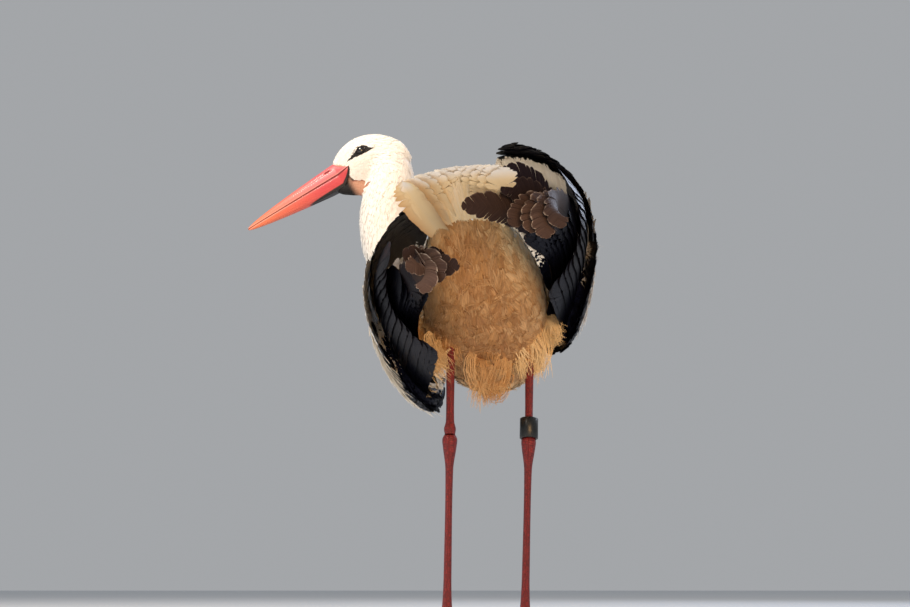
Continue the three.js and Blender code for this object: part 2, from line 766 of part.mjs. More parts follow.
const finish = (color, roughness) => new THREE.MeshStandardMaterial({ color, roughness, metalness: 0 });
const MATERIALS = {
  whitePlumage: finish(0xf4f0e6, 0.85),
  blackPlumage: finish(0x17161a, 0.5),
  bill: finish(0xc9343a, 0.4),
  legSkin: finish(0x9c2a2c, 0.55),
  claw: finish(0x6b4a44, 0.5),
  eye: finish(0x15110f, 0.08),
  ring: finish(0x14181a, 0.45),
};

function node(name, made, material) {
  const mesh = largest(made).getMesh();
  const geometry = new THREE.BufferGeometry();
  geometry.setAttribute("position", new THREE.BufferAttribute(mesh.vertProperties, 3));
  geometry.setIndex(new THREE.BufferAttribute(mesh.triVerts, 1));
  const part = new THREE.Mesh(geometry, material);
  part.name = name;
  return part;
}

function group(...children) {
  const made = new THREE.Group();
  made.add(...children);
  return made;
}

// Takes grown neighbours out of a solid.
const clear = (made, ...grown) => grown.reduce((left, other) => left.subtract(other), made);

const trunkGrown = trunk(TOUCH);
const neckGrown = neckTube(TOUCH);
const skullGrown = skull(TOUCH);
const thighGrown = Object.values(LEGS).map((leg) => thigh(leg, TOUCH));

const ringGrown = ring(LEGS.right, TOUCH);

const covertsGrown = { right: coverts("right", TOUCH), left: coverts("left", TOUCH) };

const half = TOUCH / 2;
const bareNeck = below(neckTube(), half);
const neck = clear(fuse(bareNeck, ...ruff()), trunkGrown, skullGrown, covertsGrown.right, covertsGrown.left);
const throatAndSkull = above(fuse(skull(), neckTube()), half);
const eyesOut = clear(throatAndSkull, eyeball(1, TOUCH), eyeball(-1, TOUCH), gape(1), gape(-1));
const slack = clear(throat(), below(neckTube(TOUCH), -half));
const head = fuse(eyesOut, slack, eyelids(1), eyelids(-1));

const body = group(
  node("torso", trunk(), MATERIALS.whitePlumage),
  node("tail", clear(tail(), trunkGrown), MATERIALS.whitePlumage),
  node("neck", neck, MATERIALS.whitePlumage),
);
const headGroup = group(
  node("head", head, MATERIALS.whitePlumage),
  node("bill_upper", clear(billHalf(1), skullGrown, nostril(1), nostril(-1)), MATERIALS.bill),
  node("bill_lower", clear(billHalf(-1), skullGrown, throat(TOUCH)), MATERIALS.bill),
  node("eye_right", eyeball(1), MATERIALS.eye),
  node("eye_left", eyeball(-1), MATERIALS.eye),
);

function wing(name) {
  const flight = Object.keys(TIERS).map((tierName) => {
    const vanes = clear(tierVanes(name, tierName), trunkGrown, neckGrown, covertsGrown[name], ...thighGrown);
    return node(`${tierName}_${name}`, vanes, MATERIALS.blackPlumage);
  });
  const arm = clear(coverts(name), trunkGrown, neckGrown, ...thighGrown);
  return group(node(`wing_${name}`, arm, MATERIALS.whitePlumage), ...flight);
}

function legGroup(name, leg) {
  const { side } = WINGS[name];
  return group(
    node(`thigh_${name}`, clear(thigh(leg), trunkGrown), MATERIALS.whitePlumage),
    node(`shin_${name}`, clear(shin(leg), ringGrown), MATERIALS.legSkin),
    node(`tarsus_${name}`, clear(tarsus(leg), ringGrown), MATERIALS.legSkin),
    node(`foot_${name}`, foot(side, leg), MATERIALS.legSkin),
    ...TOES.map((toe) => node(`claw_${name}_${toe[0]}`, claw(side, leg, toe), MATERIALS.claw)),
  );
}

const stork = group(
  body,
  headGroup,
  wing("right"),
  wing("left"),
  legGroup("right", LEGS.right),
  legGroup("left", LEGS.left),
  node("leg_ring", ring(LEGS.right), MATERIALS.ring),
);

// The origin goes to the middle of the whole bird's floor outline.
const bounds = new THREE.Box3().setFromObject(stork, true);
const middle = bounds.getCenter(V(0, 0, 0));
stork.position.set(-middle.x, -middle.y, -bounds.min.z);

export default stork;
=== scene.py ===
"""A white stork, life size, standing still with its wings loose at its sides and its head turned to its left.

Sizes are millimetres in the bird's own frame: +Y is the way the body faces, +X its right and +Z up, with the
soles on Z = 0. piece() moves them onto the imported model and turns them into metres.
"""

import json
import math

import bpy
import numpy as np
from mathutils import Matrix, Vector
from mathutils.bvhtree import BVHTree

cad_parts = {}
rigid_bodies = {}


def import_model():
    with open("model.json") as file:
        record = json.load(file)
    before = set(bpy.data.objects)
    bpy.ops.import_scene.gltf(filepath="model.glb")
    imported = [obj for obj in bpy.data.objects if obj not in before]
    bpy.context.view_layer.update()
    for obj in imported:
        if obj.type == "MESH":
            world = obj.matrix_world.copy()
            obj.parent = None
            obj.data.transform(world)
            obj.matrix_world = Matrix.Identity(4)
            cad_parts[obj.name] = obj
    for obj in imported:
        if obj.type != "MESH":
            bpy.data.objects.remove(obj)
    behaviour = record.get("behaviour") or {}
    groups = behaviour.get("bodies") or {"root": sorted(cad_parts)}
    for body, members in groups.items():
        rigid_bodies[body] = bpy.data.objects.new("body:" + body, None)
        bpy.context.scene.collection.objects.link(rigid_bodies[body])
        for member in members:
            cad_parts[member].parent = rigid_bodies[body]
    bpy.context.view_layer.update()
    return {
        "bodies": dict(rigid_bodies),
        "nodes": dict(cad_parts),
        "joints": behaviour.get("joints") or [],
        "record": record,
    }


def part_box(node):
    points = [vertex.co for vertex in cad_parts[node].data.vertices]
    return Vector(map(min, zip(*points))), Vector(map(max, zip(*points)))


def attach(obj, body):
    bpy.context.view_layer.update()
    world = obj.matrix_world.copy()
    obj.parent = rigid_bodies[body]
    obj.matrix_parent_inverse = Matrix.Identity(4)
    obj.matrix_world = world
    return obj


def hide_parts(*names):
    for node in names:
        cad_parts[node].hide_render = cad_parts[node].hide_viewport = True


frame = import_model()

rng = np.random.default_rng(11)
MM = 0.001

# ---- Body, as in the solids ------------------------------------------------------------------------------

TRUNK_AT = (10, 20, 449)
TRUNK_TURN = dict(pitch=12, roll=6, yaw=8)
TRUNK = [  # y, height of centre, half width, half height
    (-222, 14, 38, 9),
    (-190, 14, 50, 21),
    (-150, 12, 62, 42),
    (-90, 5, 79, 70),
    (-15, 0, 93, 91),
    (55, -6, 96, 97),
    (110, -14, 88, 92),
    (150, -18, 70, 74),
    (178, -18, 46, 49),
    (190, -16, 22, 25),
]
NECK_PATH = [
    (8, 105, 470),
    (-40, 166, 484),
    (-94, 190, 526),
    (-132, 184, 578),
    (-142, 166, 628),
    (-134, 153, 676),
    (-139, 148, 712),
    (-153, 148, 729),
]
NECK_RADII = (68, 68, 66, 62, 54, 47, 41, 28)
HEAD_AT = (-169, 150, 721)
BILL_AIM = (-1, 0.12, -0.57)
HEAD = [
    (-58, -30, 12, 12),
    (-51, -22, 20, 20),
    (-32, -11, 28, 32),
    (-8, -2.5, 30, 37.5),
    (14, -0.5, 27.5, 40),
    (34, -2, 21.5, 39),
    (48, -3, 16, 34),
    (57, -3, 12, 27.5),
    (64, -3, 8, 22),
]
THROAT = [  # the slack throat under the chin
    (22, -34, 7, 12),
    (32, -38, 10, 16),
    (44, -37, 11, 16.5),
    (56, -33, 10.5, 14),
    (68, -28, 9.5, 10),
    (77, -24, 6, 5),
]
EYE = dict(x=25.5, y=9, z=4, r=8.2)
BILL_LENGTH = 170
BILL_BASE = 60  # y of the horn's base, in the head's frame
BILL_BACK = 38  # y of the mouth's corner
BILL_HALF_WIDTH = 12
BILL_FLARE = 0.36  # how fast it widens behind its base
BILL_HALVES = {  # side: height, thinning, roundness and how the mouth's corner opens
    1: (24.5, 0.62, 0.92, 1.0),
    -1: (24.5, 0.68, 0.62, 0.5),
}
MOUTH_Z = -6
TAIL = dict(root=(0, -118, 18), length=208, spread=11, half_root=26, droop=2, arch=3)
WING_SHELL = [  # y, x and z of the middle, half width, half height
    (-300, 2, 58, 48, 46),
    (-250, 14, 62, 66, 62),
    (-200, 26, 66, 84, 74),
    (-150, 36, 62, 96, 84),
    (-80, 46, 50, 97, 96),
    (0, 54, 34, 90, 108),
    (60, 58, 24, 86, 112),
    (120, 58, 20, 76, 98),
    (160, 56, 20, 60, 78),
    (190, 50, 22, 32, 46),
]
WINGS = {
    "right": dict(side=1, shift=(10, 0, 450), roll=0, hold_in=124, turn_in=240),
    "left": dict(side=-1, shift=(16, 8, 402), roll=24, hold_in=112, turn_in=156),
}
TIERS = {  # first and last feather's root and tip as (y, angle), depths outside the shell
    "primaries": dict(depths=(-34, -19), bend=6, roots=((96, 134), (20, 128)), tips=((-262, 0), (-246, 74))),
    "secondaries": dict(
        depths=(-10.6, -3.2), bend=1.4, roots=((104, 122), (-24, 58)), tips=((-100, 148), (-205, 68))
    ),
    "tertials": dict(depths=(3.6, 6), bend=1.4, roots=((-8, 64), (48, 2)), tips=((-120, 92), (-196, 4))),
}
TIP_RISE = 11  # how far the primaries' tips stand out further than their roots
LAST_HOLD = 98  # the angle that the last primary is held at
COVERTS = [  # y, top angle, bottom angle
    (-70, 8, 66),
    (-20, -8, 90),
    (60, -16, 118),
    (112, -18, 140),
    (150, -12, 142),
    (188, -6, 138),
]
LEGS = {
    "right": dict(foot=(66, 68, 9), heel=(72, 20, 242), top=(76, 32, 352), knee=(66, 62, 425)),
    "left": dict(foot=(-42, 50, 9), heel=(-38, -12, 240), top=(-37, 3, 364), knee=(-38, 46, 425)),
}
SHIN_R = 5.8
HEEL_R = 10.2
TARSUS_R = 5.4
TOES = [  # name, length, radius at the root, degrees from straight ahead
    ("inner", 58, 5.4, -34),
    ("middle", 78, 5.8, -1),
    ("outer", 67, 5.4, 32),
    ("hind", 30, 5.0, 186),
]
CLAW = 12
RING = dict(inner=9.6, outer=12.8, height=29, above=1.5)

# ---- Working out shapes ----------------------------------------------------------------------------------


def unit(v):
    v = np.asarray(v, float)
    return v / np.maximum(np.linalg.norm(v, axis=-1, keepdims=True), 1e-9)


def along(rows, t):
    """Reads rows of (at, a, b, ...) at t: a smooth curve through the rows, level beyond its ends."""
    rows = np.asarray(rows, float)
    t = np.clip(np.asarray(t, float), rows[0, 0], rows[-1, 0])
    i = np.clip(np.searchsorted(rows[:, 0], t, side="right") - 1, 0, len(rows) - 2)
    a, b = rows[i], rows[i + 1]
    before, after = rows[np.maximum(i - 1, 0)], rows[np.minimum(i + 2, len(rows) - 1)]
    span = (b - a)[..., :1]
    s = (t[..., None] - a[..., :1]) / span
    slope_a = (b - before) / (b - before)[..., :1] * span
    slope_b = (after - a) / (after - a)[..., :1] * span
    s2, s3 = s * s, s * s * s
    read = (2 * s3 - 3 * s2 + 1) * a + (s3 - 2 * s2 + s) * slope_a
    read = read + (3 * s2 - 2 * s3) * b + (s3 - s2) * slope_b
    return read[..., 1:]


def columns(rows, t):
    """The same, each column by itself."""
    return np.moveaxis(along(rows, t), -1, 0)


def smooth_path(points, steps=40):
    """A centripetal curve through points, as points an even way apart."""
    p = np.asarray(points, float)
    p = np.vstack([2 * p[0] - p[1], p, 2 * p[-1] - p[-2]])
    dense = []
    for p0, p1, p2, p3 in zip(p, p[1:], p[2:], p[3:]):
        d0, d1, d2 = (np.linalg.norm(b - a) ** 0.5 for a, b in ((p0, p1), (p1, p2), (p2, p3)))
        m1 = ((p1 - p0) / d0 - (p2 - p0) / (d0 + d1) + (p2 - p1) / d1) * d1
        m2 = ((p2 - p1) / d1 - (p3 - p1) / (d1 + d2) + (p3 - p2) / d2) * d1
        s = np.linspace(0, 1, steps, endpoint=False)[:, None]
        from_p1, from_m1 = 2 * s**3 - 3 * s**2 + 1, s**3 - 2 * s**2 + s
        from_p2, from_m2 = 3 * s**2 - 2 * s**3, s**3 - s**2
        dense.append(from_p1 * p1 + from_m1 * m1 + from_p2 * p2 + from_m2 * m2)
    dense = np.vstack(dense + [p[-2]])
    way = np.concatenate([[0], np.cumsum(np.linalg.norm(np.diff(dense, axis=0), axis=1))])
    even = np.linspace(0, way[-1], len(dense))
    return np.stack([np.interp(even, way, dense[:, k]) for k in range(3)], axis=1)


def signed_power(v, e):
    return np.sign(v) * np.abs(v) ** e


def clamp(v):
    return np.clip(v, 0, 1)


def hump(v, middle, width):
    """A smooth bump, 1 at the middle."""
    return np.exp(-(((v - middle) / width) ** 2))


def eased(s):
    """0 to 1 with level ends."""
    return s * s * (3 - 2 * s)


def circle(sides):
    """Angles evenly round a circle."""
    return np.linspace(0, 2 * np.pi, sides, endpoint=False)


def turned(axes, at):
    """A 4 x 4 matrix from three axis columns and a place."""
    m = np.eye(4)
    m[:3, :3] = axes
    m[:3, 3] = at
    return m


def moved(matrix, points):
    """Points from a frame to the bird's."""
    return np.asarray(points) @ matrix[:3, :3].T + matrix[:3, 3]


def local(matrix, points):
    """Points from the bird's frame to another."""
    return (np.asarray(points) - matrix[:3, 3]) @ matrix[:3, :3]


def mix(a, b, t):
    return a + (b - a) * t


def in_body(frame, rows, points):
    """Points in a round body's frame, its middle and half height there, and how far out they lie, 1 on it."""
    p = local(frame, points)
    middle, wide, high = columns(rows, p[:, 1])
    return p, middle, high, np.hypot(p[:, 0] / wide, (p[:, 2] - middle) / high)


turn = {k: math.radians(v) for k, v in TRUNK_TURN.items()}
trunk_axes = Matrix.Rotation(-turn["yaw"], 3, "Z") @ Matrix.Rotation(-turn["pitch"], 3, "X")
trunk_axes = trunk_axes @ Matrix.Rotation(-turn["roll"], 3, "Y")
trunk_frame = turned(np.array(trunk_axes), TRUNK_AT)
bill_ahead = unit(BILL_AIM)
crown_up = unit(np.array((0, 0, 1)) - bill_ahead * bill_ahead[2])
head_frame = turned(np.stack([np.cross(bill_ahead, crown_up), bill_ahead, crown_up], axis=1), HEAD_AT)

neck_line = smooth_path(NECK_PATH)
neck_share = np.linspace(0, 1, len(neck_line))
neck_radius = along([(i / 7, r) for i, r in enumerate(NECK_RADII)], neck_share)[:, 0]
neck_aim = unit(np.gradient(neck_line, axis=0))

heel, shin_top = np.array(LEGS["right"]["heel"]), np.array(LEGS["right"]["top"])
shin_aim = unit(shin_top - heel)
ring_middle = heel + shin_aim * (RING["above"] + RING["height"] / 2)
ring_low, ring_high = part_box("leg_ring")
SHIFT = np.array((ring_low + ring_high) / 2) / MM - ring_middle  # from the bird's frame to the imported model's


def wing_point(name, y, angle, depth):
    """A wing's point at y, turned `angle` degrees from the top outwards, `depth` mm outside its shell."""
    wing = WINGS[name]
    x, z, w, h = columns(WING_SHELL, y)
    a = np.radians(angle)
    point_x = wing["side"] * (x + (w + depth) * np.sin(a))
    point_z = z + (h + depth) * np.cos(a)
    lean = -math.radians(wing["roll"])
    point = np.stack(
        [
            point_x * math.cos(lean) + point_z * math.sin(lean),
            np.broadcast_to(np.asarray(y, float), point_x.shape),
            point_z * math.cos(lean) - point_x * math.sin(lean),
        ],
        axis=-1,
    )
    return point + wing["shift"]


def tier_place(name, tier_name):
    """A tier's surface: the point at t (first feather to last) and s (root to tip), lifted off it."""
    tier, wing = TIERS[tier_name], WINGS[name]
    primaries = tier_name == "primaries"
    tips = [list(tip) for tip in tier["tips"]]
    if primaries:
        tips[0][1] = wing["turn_in"]

    def place(t, s, lift):
        t, s = np.broadcast_arrays(np.asarray(t, float), np.asarray(s, float))
        root = [mix(tier["roots"][0][k], tier["roots"][1][k], t) for k in (0, 1)]
        tip = [mix(tips[0][k], tips[1][k], t) for k in (0, 1)]
        held = root[1]
        if primaries:
            held = mix(root[1], mix(wing["hold_in"], LAST_HOLD, t), clamp(s / 0.45))
        angle = mix(held, tip[1], np.maximum(0, s) ** tier["bend"])
        rise = TIP_RISE * s * s if primaries else 0
        return wing_point(name, mix(root[0], tip[0], s), angle, mix(*tier["depths"], t) + rise + lift)

    return place


def tail_point(s, out, lift):
    """A point of the tail at s (root to tip) and out (-1 left edge, 1 right edge), lifted off its surface."""
    far = s * TAIL["length"]
    x = out * (TAIL["half_root"] + far * math.tan(math.radians(TAIL["spread"])))
    drop = far * math.sin(math.radians(TAIL["droop"])) + TAIL["arch"] * out * out * (0.4 + s)
    root = TAIL["root"]
    point = np.stack(np.broadcast_arrays(x, root[1] - far, root[2] - drop + lift), axis=-1)
    return moved(trunk_frame, point)


# ---- Colours and node materials --------------------------------------------------------------------------


def ink(code):
    """Linear colour from an sRGB hex code."""
    parts = [int(code[i : i + 2], 16) / 255 for i in (1, 3, 5)]
    return tuple(c / 12.92 if c <= 0.04045 else ((c + 0.055) / 1.055) ** 2.4 for c in parts) + (1.0,)


def node(tree, kind, inputs=None, **settings):
    """Adds one node with its settings, and its inputs as hex colours, values or links."""
    made = tree.nodes.new(kind)
    for name, value in settings.items():
        setattr(made, name, value)
    for name, value in (inputs or {}).items():
        if isinstance(value, bpy.types.NodeSocket):
            tree.links.new(value, made.inputs[name])
        else:
            made.inputs[name].default_value = ink(value) if isinstance(value, str) else value
    return made


def material(name):
    """An empty node material and its tree."""
    made = bpy.data.materials.new(name)
    made.use_nodes = True
    made.node_tree.nodes.clear()
    return made, made.node_tree


def shaded(made, colour, roughness, more=None):
    """Ends a material in one Principled shader."""
    inputs = {"Base Color": colour, "Roughness": roughness, **(more or {})}
    shader = node(made.node_tree, "ShaderNodeBsdfPrincipled", inputs)
    node(made.node_tree, "ShaderNodeOutputMaterial", {"Surface": shader.outputs[0]})
    return made


def blend(tree, factor, a, b):
    """The colour a at factor 0 and b at factor 1."""
    return node(tree, "ShaderNodeMix", {0: factor, 6: a, 7: b}, data_type="RGBA").outputs[2]


def attribute(tree, name):
    return node(tree, "ShaderNodeAttribute", attribute_name=name).outputs["Fac"]


def ranged(tree, value, start=0.0, end=1.0, low=0.0, high=1.0):
    """Maps start..end to low..high, held at both ends."""
    inputs = {"Value": value, "From Min": start, "From Max": end, "To Min": low, "To Max": high}
    return node(tree, "ShaderNodeMapRange", inputs).outputs[0]


def scaled(tree, colour, by):
    return node(tree, "ShaderNodeVectorMath", {0: colour, "Scale": by}, operation="SCALE").outputs[0]


def product(tree, a, b):
    return node(tree, "ShaderNodeMath", {0: a, 1: b}, operation="MULTIPLY").outputs[0]


def stretched(tree, place, scale):
    return node(tree, "ShaderNodeMapping", {"Vector": place, "Scale": scale}).outputs[0]


def noise(tree, place, scale=1.0, detail=2.0, roughness=0.5):
    inputs = {"Vector": place, "Scale": scale, "Detail": detail, "Roughness": roughness}
    return node(tree, "ShaderNodeTexNoise", inputs).outputs[0]


def bump(tree, height, strength, distance):
    """The normal of a relief `distance` metres deep."""
    inputs = {"Height": height, "Strength": strength, "Distance": distance}
    return node(tree, "ShaderNodeBump", inputs).outputs[0]


def on_object(tree):
    return node(tree, "ShaderNodeTexCoord").outputs["Object"]


def unwrap(tree, name):
    return node(tree, "ShaderNodeUVMap", uv_map=name).outputs[0]


BLUE_GLOSS = "#5468c8"


def white_contour_feathers():
    """Barbed white keratin, worn soft, matt: painted shade where feathers overlap; buff low on the body, partly
    painted light.
    """
    made, tree = material("white_contour_feathers")
    names = ("tone", "tint", "reach", "stain", "soft")
    tone, tint, reach, stain, soft = (attribute(tree, name) for name in names)
    white = blend(tree, tone, "#f3f0ea", "#fffdf9")
    # White, golden cream, buff, then darker buff: real staining mixed with painted warm light, and past 1
    # painted shade
    cream = blend(tree, ranged(tree, stain, 0.0, 0.4), white, "#f5dbaa")
    buff = blend(tree, tone, "#bd8d56", "#d4ab79")
    warm = blend(tree, ranged(tree, stain, 0.4, 1.0), cream, buff)
    body = blend(tree, ranged(tree, stain, 1.0, 1.6), warm, "#8c5b33")
    # Painted shade: each feather darkens towards its root, where the one before it covers it
    root_shaded = scaled(tree, body, ranged(tree, reach, 0.0, 0.6, ranged(tree, soft, 0.0, 1.0, 0.82, 0.96)))
    darkest = ranged(tree, stain, 0.3, 1.5, 0.95, ranged(tree, soft, 0.4, 1.0, 0.8, 0.92))
    palest = ranged(tree, stain, 0.3, 1.5, 1.02, ranged(tree, soft, 0.4, 1.0, 1.2, 1.08))
    streaked = scaled(tree, root_shaded, ranged(tree, tint, 0.0, 1.0, darkest, palest))
    finish = {"Sheen Weight": 0.15, "Sheen Roughness": 0.5, "Specular IOR Level": 0.2}
    return shaded(made, streaked, 0.8, finish)


def black_flight_feathers():
    """Melanin-black keratin vanes, barbs as ribs: a blue gloss, grey-brown and frayed pale at worn tips."""
    made, tree = material("black_flight_feathers")
    tone, under, edge, worn = (attribute(tree, name) for name in ("tone", "under", "edge", "worn"))
    # Real barbs lie 0.6 mm apart; these streaks are 2 mm apart, the finest that shows from a step away
    streaks = noise(tree, stretched(tree, unwrap(tree, "Vane"), (0.02, 0.5, 1.0)), detail=3.0)
    black = blend(tree, tone, "#050508", "#0c0d15")
    brown = blend(tree, streaks, "#1e1715", "#635047")
    face = blend(tree, worn, black, brown)
    dull = scaled(tree, face, ranged(tree, under, 0.0, 1.0, 1.0, 1.1))
    rim = product(tree, ranged(tree, edge, 0.93, 1.0), ranged(tree, streaks, 0.42, 0.6, 0.1, 0.8))
    fringed = blend(tree, product(tree, rim, worn), dull, "#b3a69b")
    finish = {
        "Normal": bump(tree, streaks, 0.5, 0.0012),
        "Specular IOR Level": ranged(tree, worn, 0.0, 0.6, 0.13, 0.07),
        "Specular Tint": BLUE_GLOSS,
    }
    return shaded(made, fringed, ranged(tree, worn, 0.0, 1.0, 0.33, 0.6), finish)


def black_covert_feathers():
    """Small melanin-black feathers over the hand: the same blue gloss, broken up by their soft edges."""
    made, tree = material("black_covert_feathers")
    black = blend(tree, attribute(tree, "tone"), "#050508", "#0e0f18")
    streaked = scaled(tree, black, ranged(tree, attribute(tree, "tint"), 0.0, 1.0, 0.8, 1.2))
    return shaded(made, streaked, 0.4, {"Specular IOR Level": 0.18, "Specular Tint": BLUE_GLOSS})


def down_skin():
    """Skin under the coat with short down; bare and tan at the throat with a red rim; black under the jaw,
    partly painted shade.
    """
    made, tree = material("downy_skin")
    fluff = noise(tree, on_object(tree), 420.0, 4.0)
    white = blend(tree, fluff, "#d9d3c8", "#f2efe8")
    buff = blend(tree, fluff, "#84592f", "#b98c5c")
    coat = blend(tree, attribute(tree, "stain"), white, buff)
    tan = blend(tree, fluff, "#a9745c", "#d2a78f")
    red = blend(tree, attribute(tree, "rim"), tan, "#a33a33")
    flesh = blend(tree, attribute(tree, "bare"), coat, red)
    marked = blend(tree, attribute(tree, "dark"), flesh, "#0b0b10")
    return shaded(made, marked, 0.85, {"Normal": bump(tree, fluff, 0.6, 0.0015)})


def black_bare_skin():
    """Wrinkled bare black skin round the eye: fine cells, a soft damp gloss."""
    made, tree = material("black_bare_skin")
    place = on_object(tree)
    cells = node(tree, "ShaderNodeTexVoronoi", {"Vector": place, "Scale": 1400.0}).outputs[0]
    colour = blend(tree, noise(tree, place, 500.0), "#070606", "#181313")
    return shaded(made, colour, 0.55, {"Specular IOR Level": 0.3, "Normal": bump(tree, cells, 0.4, 0.0003)})


def bill_horn(pink, red):
    """Red horn sheath of the bill: satin, grown in fine lengthwise lines, paler towards the tip."""
    made, tree = material("red_bill_horn")
    grain = noise(tree, unwrap(tree, "Grain"), 1.0, 4.0, 0.6)
    base = blend(tree, grain, red, pink)
    tip = blend(tree, grain, "#d4603f", "#ea8d64")
    colour = blend(tree, ranged(tree, attribute(tree, "reach"), 0.2, 0.9), base, tip)
    # pale is a painted highlight beside the mouth's seam; dark is painted shade, with black skin under the jaw
    seam_highlit = blend(tree, attribute(tree, "pale"), colour, "#efb3a4")
    marked = blend(tree, attribute(tree, "dark"), seam_highlit, "#150a0b")
    finish = {"Normal": bump(tree, grain, 0.14, 0.0004), "Specular IOR Level": 0.5, "Coat Weight": 0.15}
    return shaded(made, marked, 0.38, finish)


def leg_scutes():
    """Dark red leg skin in small six-sided scutes, dry, with darker grooves between them."""
    made, tree = material("red_leg_scutes")
    wrap = {"Vector": unwrap(tree, "Grain"), "Scale": 1.0}
    cells = node(tree, "ShaderNodeTexVoronoi", wrap, feature="DISTANCE_TO_EDGE")
    groove = ranged(tree, cells.outputs[0], 0.0, 0.12)
    plate = blend(tree, node(tree, "ShaderNodeTexVoronoi", wrap).outputs["Color"], "#6c1416", "#8e2422")
    colour = blend(tree, groove, "#4a1114", plate)
    return shaded(made, colour, 0.5, {"Normal": bump(tree, groove, 0.7, 0.0006)})


def claw_horn():
    """Blunt brown horn, mottled in two browns."""
    made, tree = material("brown_claw_horn")
    return shaded(made, blend(tree, noise(tree, on_object(tree), 260.0), "#4a2f2a", "#7a5750"), 0.4)


def wet_eye():
    """A dark brown iris round a black pupil under a wet, clear cornea."""
    made, tree = material("wet_dark_eye")
    ramp = node(tree, "ShaderNodeValToRGB", {"Fac": attribute(tree, "reach")})
    stops = ramp.color_ramp.elements
    stops[0].position, stops[0].color = 0.40, ink("#020202")
    stops[1].position, stops[1].color = 0.46, ink("#2a1710")
    rim = stops.new(0.85)
    rim.color = ink("#170d0a")
    return shaded(made, ramp.outputs[0], 0.1, {"Coat Weight": 1.0, "Coat Roughness": 0.02})


def ring_plastic():
    """Black moulded leg-ring plastic: satin, scuffed in fine streaks round the band."""
    made, tree = material("black_ring_plastic")
    scuff = noise(tree, stretched(tree, on_object(tree), (60.0, 60.0, 900.0)), 6.0, 5.0)
    marks = ranged(tree, scuff, 0.55, 0.8)
    return shaded(made, blend(tree, marks, "#101315", "#3b4247"), ranged(tree, marks, 0.0, 1.0, 0.32, 0.6))


# ---- Making meshes ---------------------------------------------------------------------------------------


def piece(name, points, faces, finish, slot, uvs=None, normals=None, turned_over=None, **values):
    """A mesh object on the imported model: points in mm, faces as arrays of equal corner counts.

    normals are the ways that the points are shaded to face; turned_over faces face the other way."""
    mesh = bpy.data.meshes.new(name)
    points = (np.asarray(points, float) + SHIFT) * MM
    mesh.vertices.add(len(points))
    mesh.vertices.foreach_set("co", points.astype(np.float32).ravel())
    faces = [np.asarray(f, np.int32) for f in faces if len(f)]
    corners = np.concatenate([f.ravel() for f in faces])
    sizes = np.concatenate([np.full(len(f), f.shape[1]) for f in faces])
    mesh.loops.add(len(corners))
    mesh.loops.foreach_set("vertex_index", corners)
    mesh.polygons.add(len(sizes))
    mesh.polygons.foreach_set("loop_start", np.concatenate([[0], np.cumsum(sizes)[:-1]]).astype(np.int32))
    mesh.update(calc_edges=True)
    for key, value in values.items():
        value = np.asarray(value, np.float32).ravel()
        mesh.attributes.new(key, "FLOAT", "POINT").data.foreach_set("value", value)
    for key, uv in (uvs or {}).items():
        mesh.uv_layers.new(name=key).data.foreach_set("uv", np.asarray(uv, np.float32)[corners].ravel())
    mesh.polygons.foreach_set("use_smooth", np.full(len(sizes), True))
    mesh.update()
    if normals is not None:
        facing = unit(normals)[corners]
        if turned_over is not None:
            facing[np.repeat(np.concatenate(turned_over), sizes)] *= -1
        mesh.normals_split_custom_set(facing.astype(np.float32))
    mesh.materials.append(finish)
    made = bpy.data.objects.new(name, mesh)
    bpy.context.scene.collection.objects.link(made)
    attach(made, "root")
    return made


def grid_faces(rows, cols, wrap=False, closed=False):
    """Quads over a grid of points; wrap joins the last column to the first, closed the last row."""
    index = np.arange(rows * cols).reshape(rows, cols)
    below = np.roll(index, -1, 0)
    quads = np.stack([index, np.roll(index, -1, 1), np.roll(below, -1, 1), below], axis=-1)
    return quads[: rows if closed else rows - 1, : cols if wrap else cols - 1].reshape(-1, 4)


def round_body(rings):
    """Points and faces of a closed body through rings (rows, sides, 3), its ends closed to their middles."""
    rows, sides, _ = rings.shape
    points = np.vstack([rings.reshape(-1, 3), rings[0].mean(0), rings[-1].mean(0)])
    j = np.arange(sides)
    k = (j + 1) % sides
    last = (rows - 1) * sides
    first_fan = np.stack([k, j, np.full(sides, rows * sides)], axis=1)
    last_fan = np.stack([last + j, last + k, np.full(sides, rows * sides + 1)], axis=1)
    return points, [grid_faces(rows, sides, wrap=True), first_fan, last_fan]


def barrel(rows, sides, rings, squareness, shrink, matrix):
    """The solids' round bodies, shrunk all round."""
    y = np.linspace(rows[0][0], rows[-1][0], rings)
    z, w, h = columns(rows, y)
    w, h = (np.maximum(v - shrink, 1.5)[:, None] for v in (w, h))
    y = np.clip(y, y[0] + shrink, y[-1] - shrink)
    a = circle(sides)[None, :]
    across, up = signed_power(np.sin(a), 2 / squareness), signed_power(np.cos(a), 2 / squareness)
    local = np.stack(np.broadcast_arrays(w * across, y[:, None], z[:, None] + h * up), axis=-1)
    return round_body(moved(matrix, local))


def with_ends(rows):
    """A body's rows of values with those of its two ends' middles."""
    return np.vstack([rows, rows[:1], rows[-1:]])


def carried_sides(path):
    """Two unit vectors across a path at each point, carried along without twist."""
    aim = unit(np.gradient(path, axis=0))
    side = np.array((1.0, 0, 0)) if abs(aim[0][0]) < 0.9 else np.array((0, 1.0, 0))
    across = []
    for direction in aim:
        side = unit(side - direction * (side @ direction))
        across.append(side)
    across = np.array(across)
    return across, np.cross(across, aim)


def tube(path, radius, sides, flat=1.0):
    """A round body along a path with a radius at each point; flat squeezes its second side."""
    across, over = carried_sides(path)
    a = circle(sides)[None, :, None]
    r = np.asarray(radius, float)[:, None, None]
    rings = path[:, None] + r * (np.sin(a) * across[:, None] + flat * np.cos(a) * over[:, None])
    return round_body(rings)


def ellipsoid(centre, radii, sides=24, rows=16, matrix=np.eye(4)):
    a = np.linspace(0, np.pi, rows)[1:-1, None]
    b = circle(sides)[None]
    rings = np.stack([np.sin(a) * np.cos(b), np.sin(a) * np.sin(b), np.cos(a) * np.ones_like(b)], axis=-1)
    return round_body(moved(matrix, rings * radii + centre))


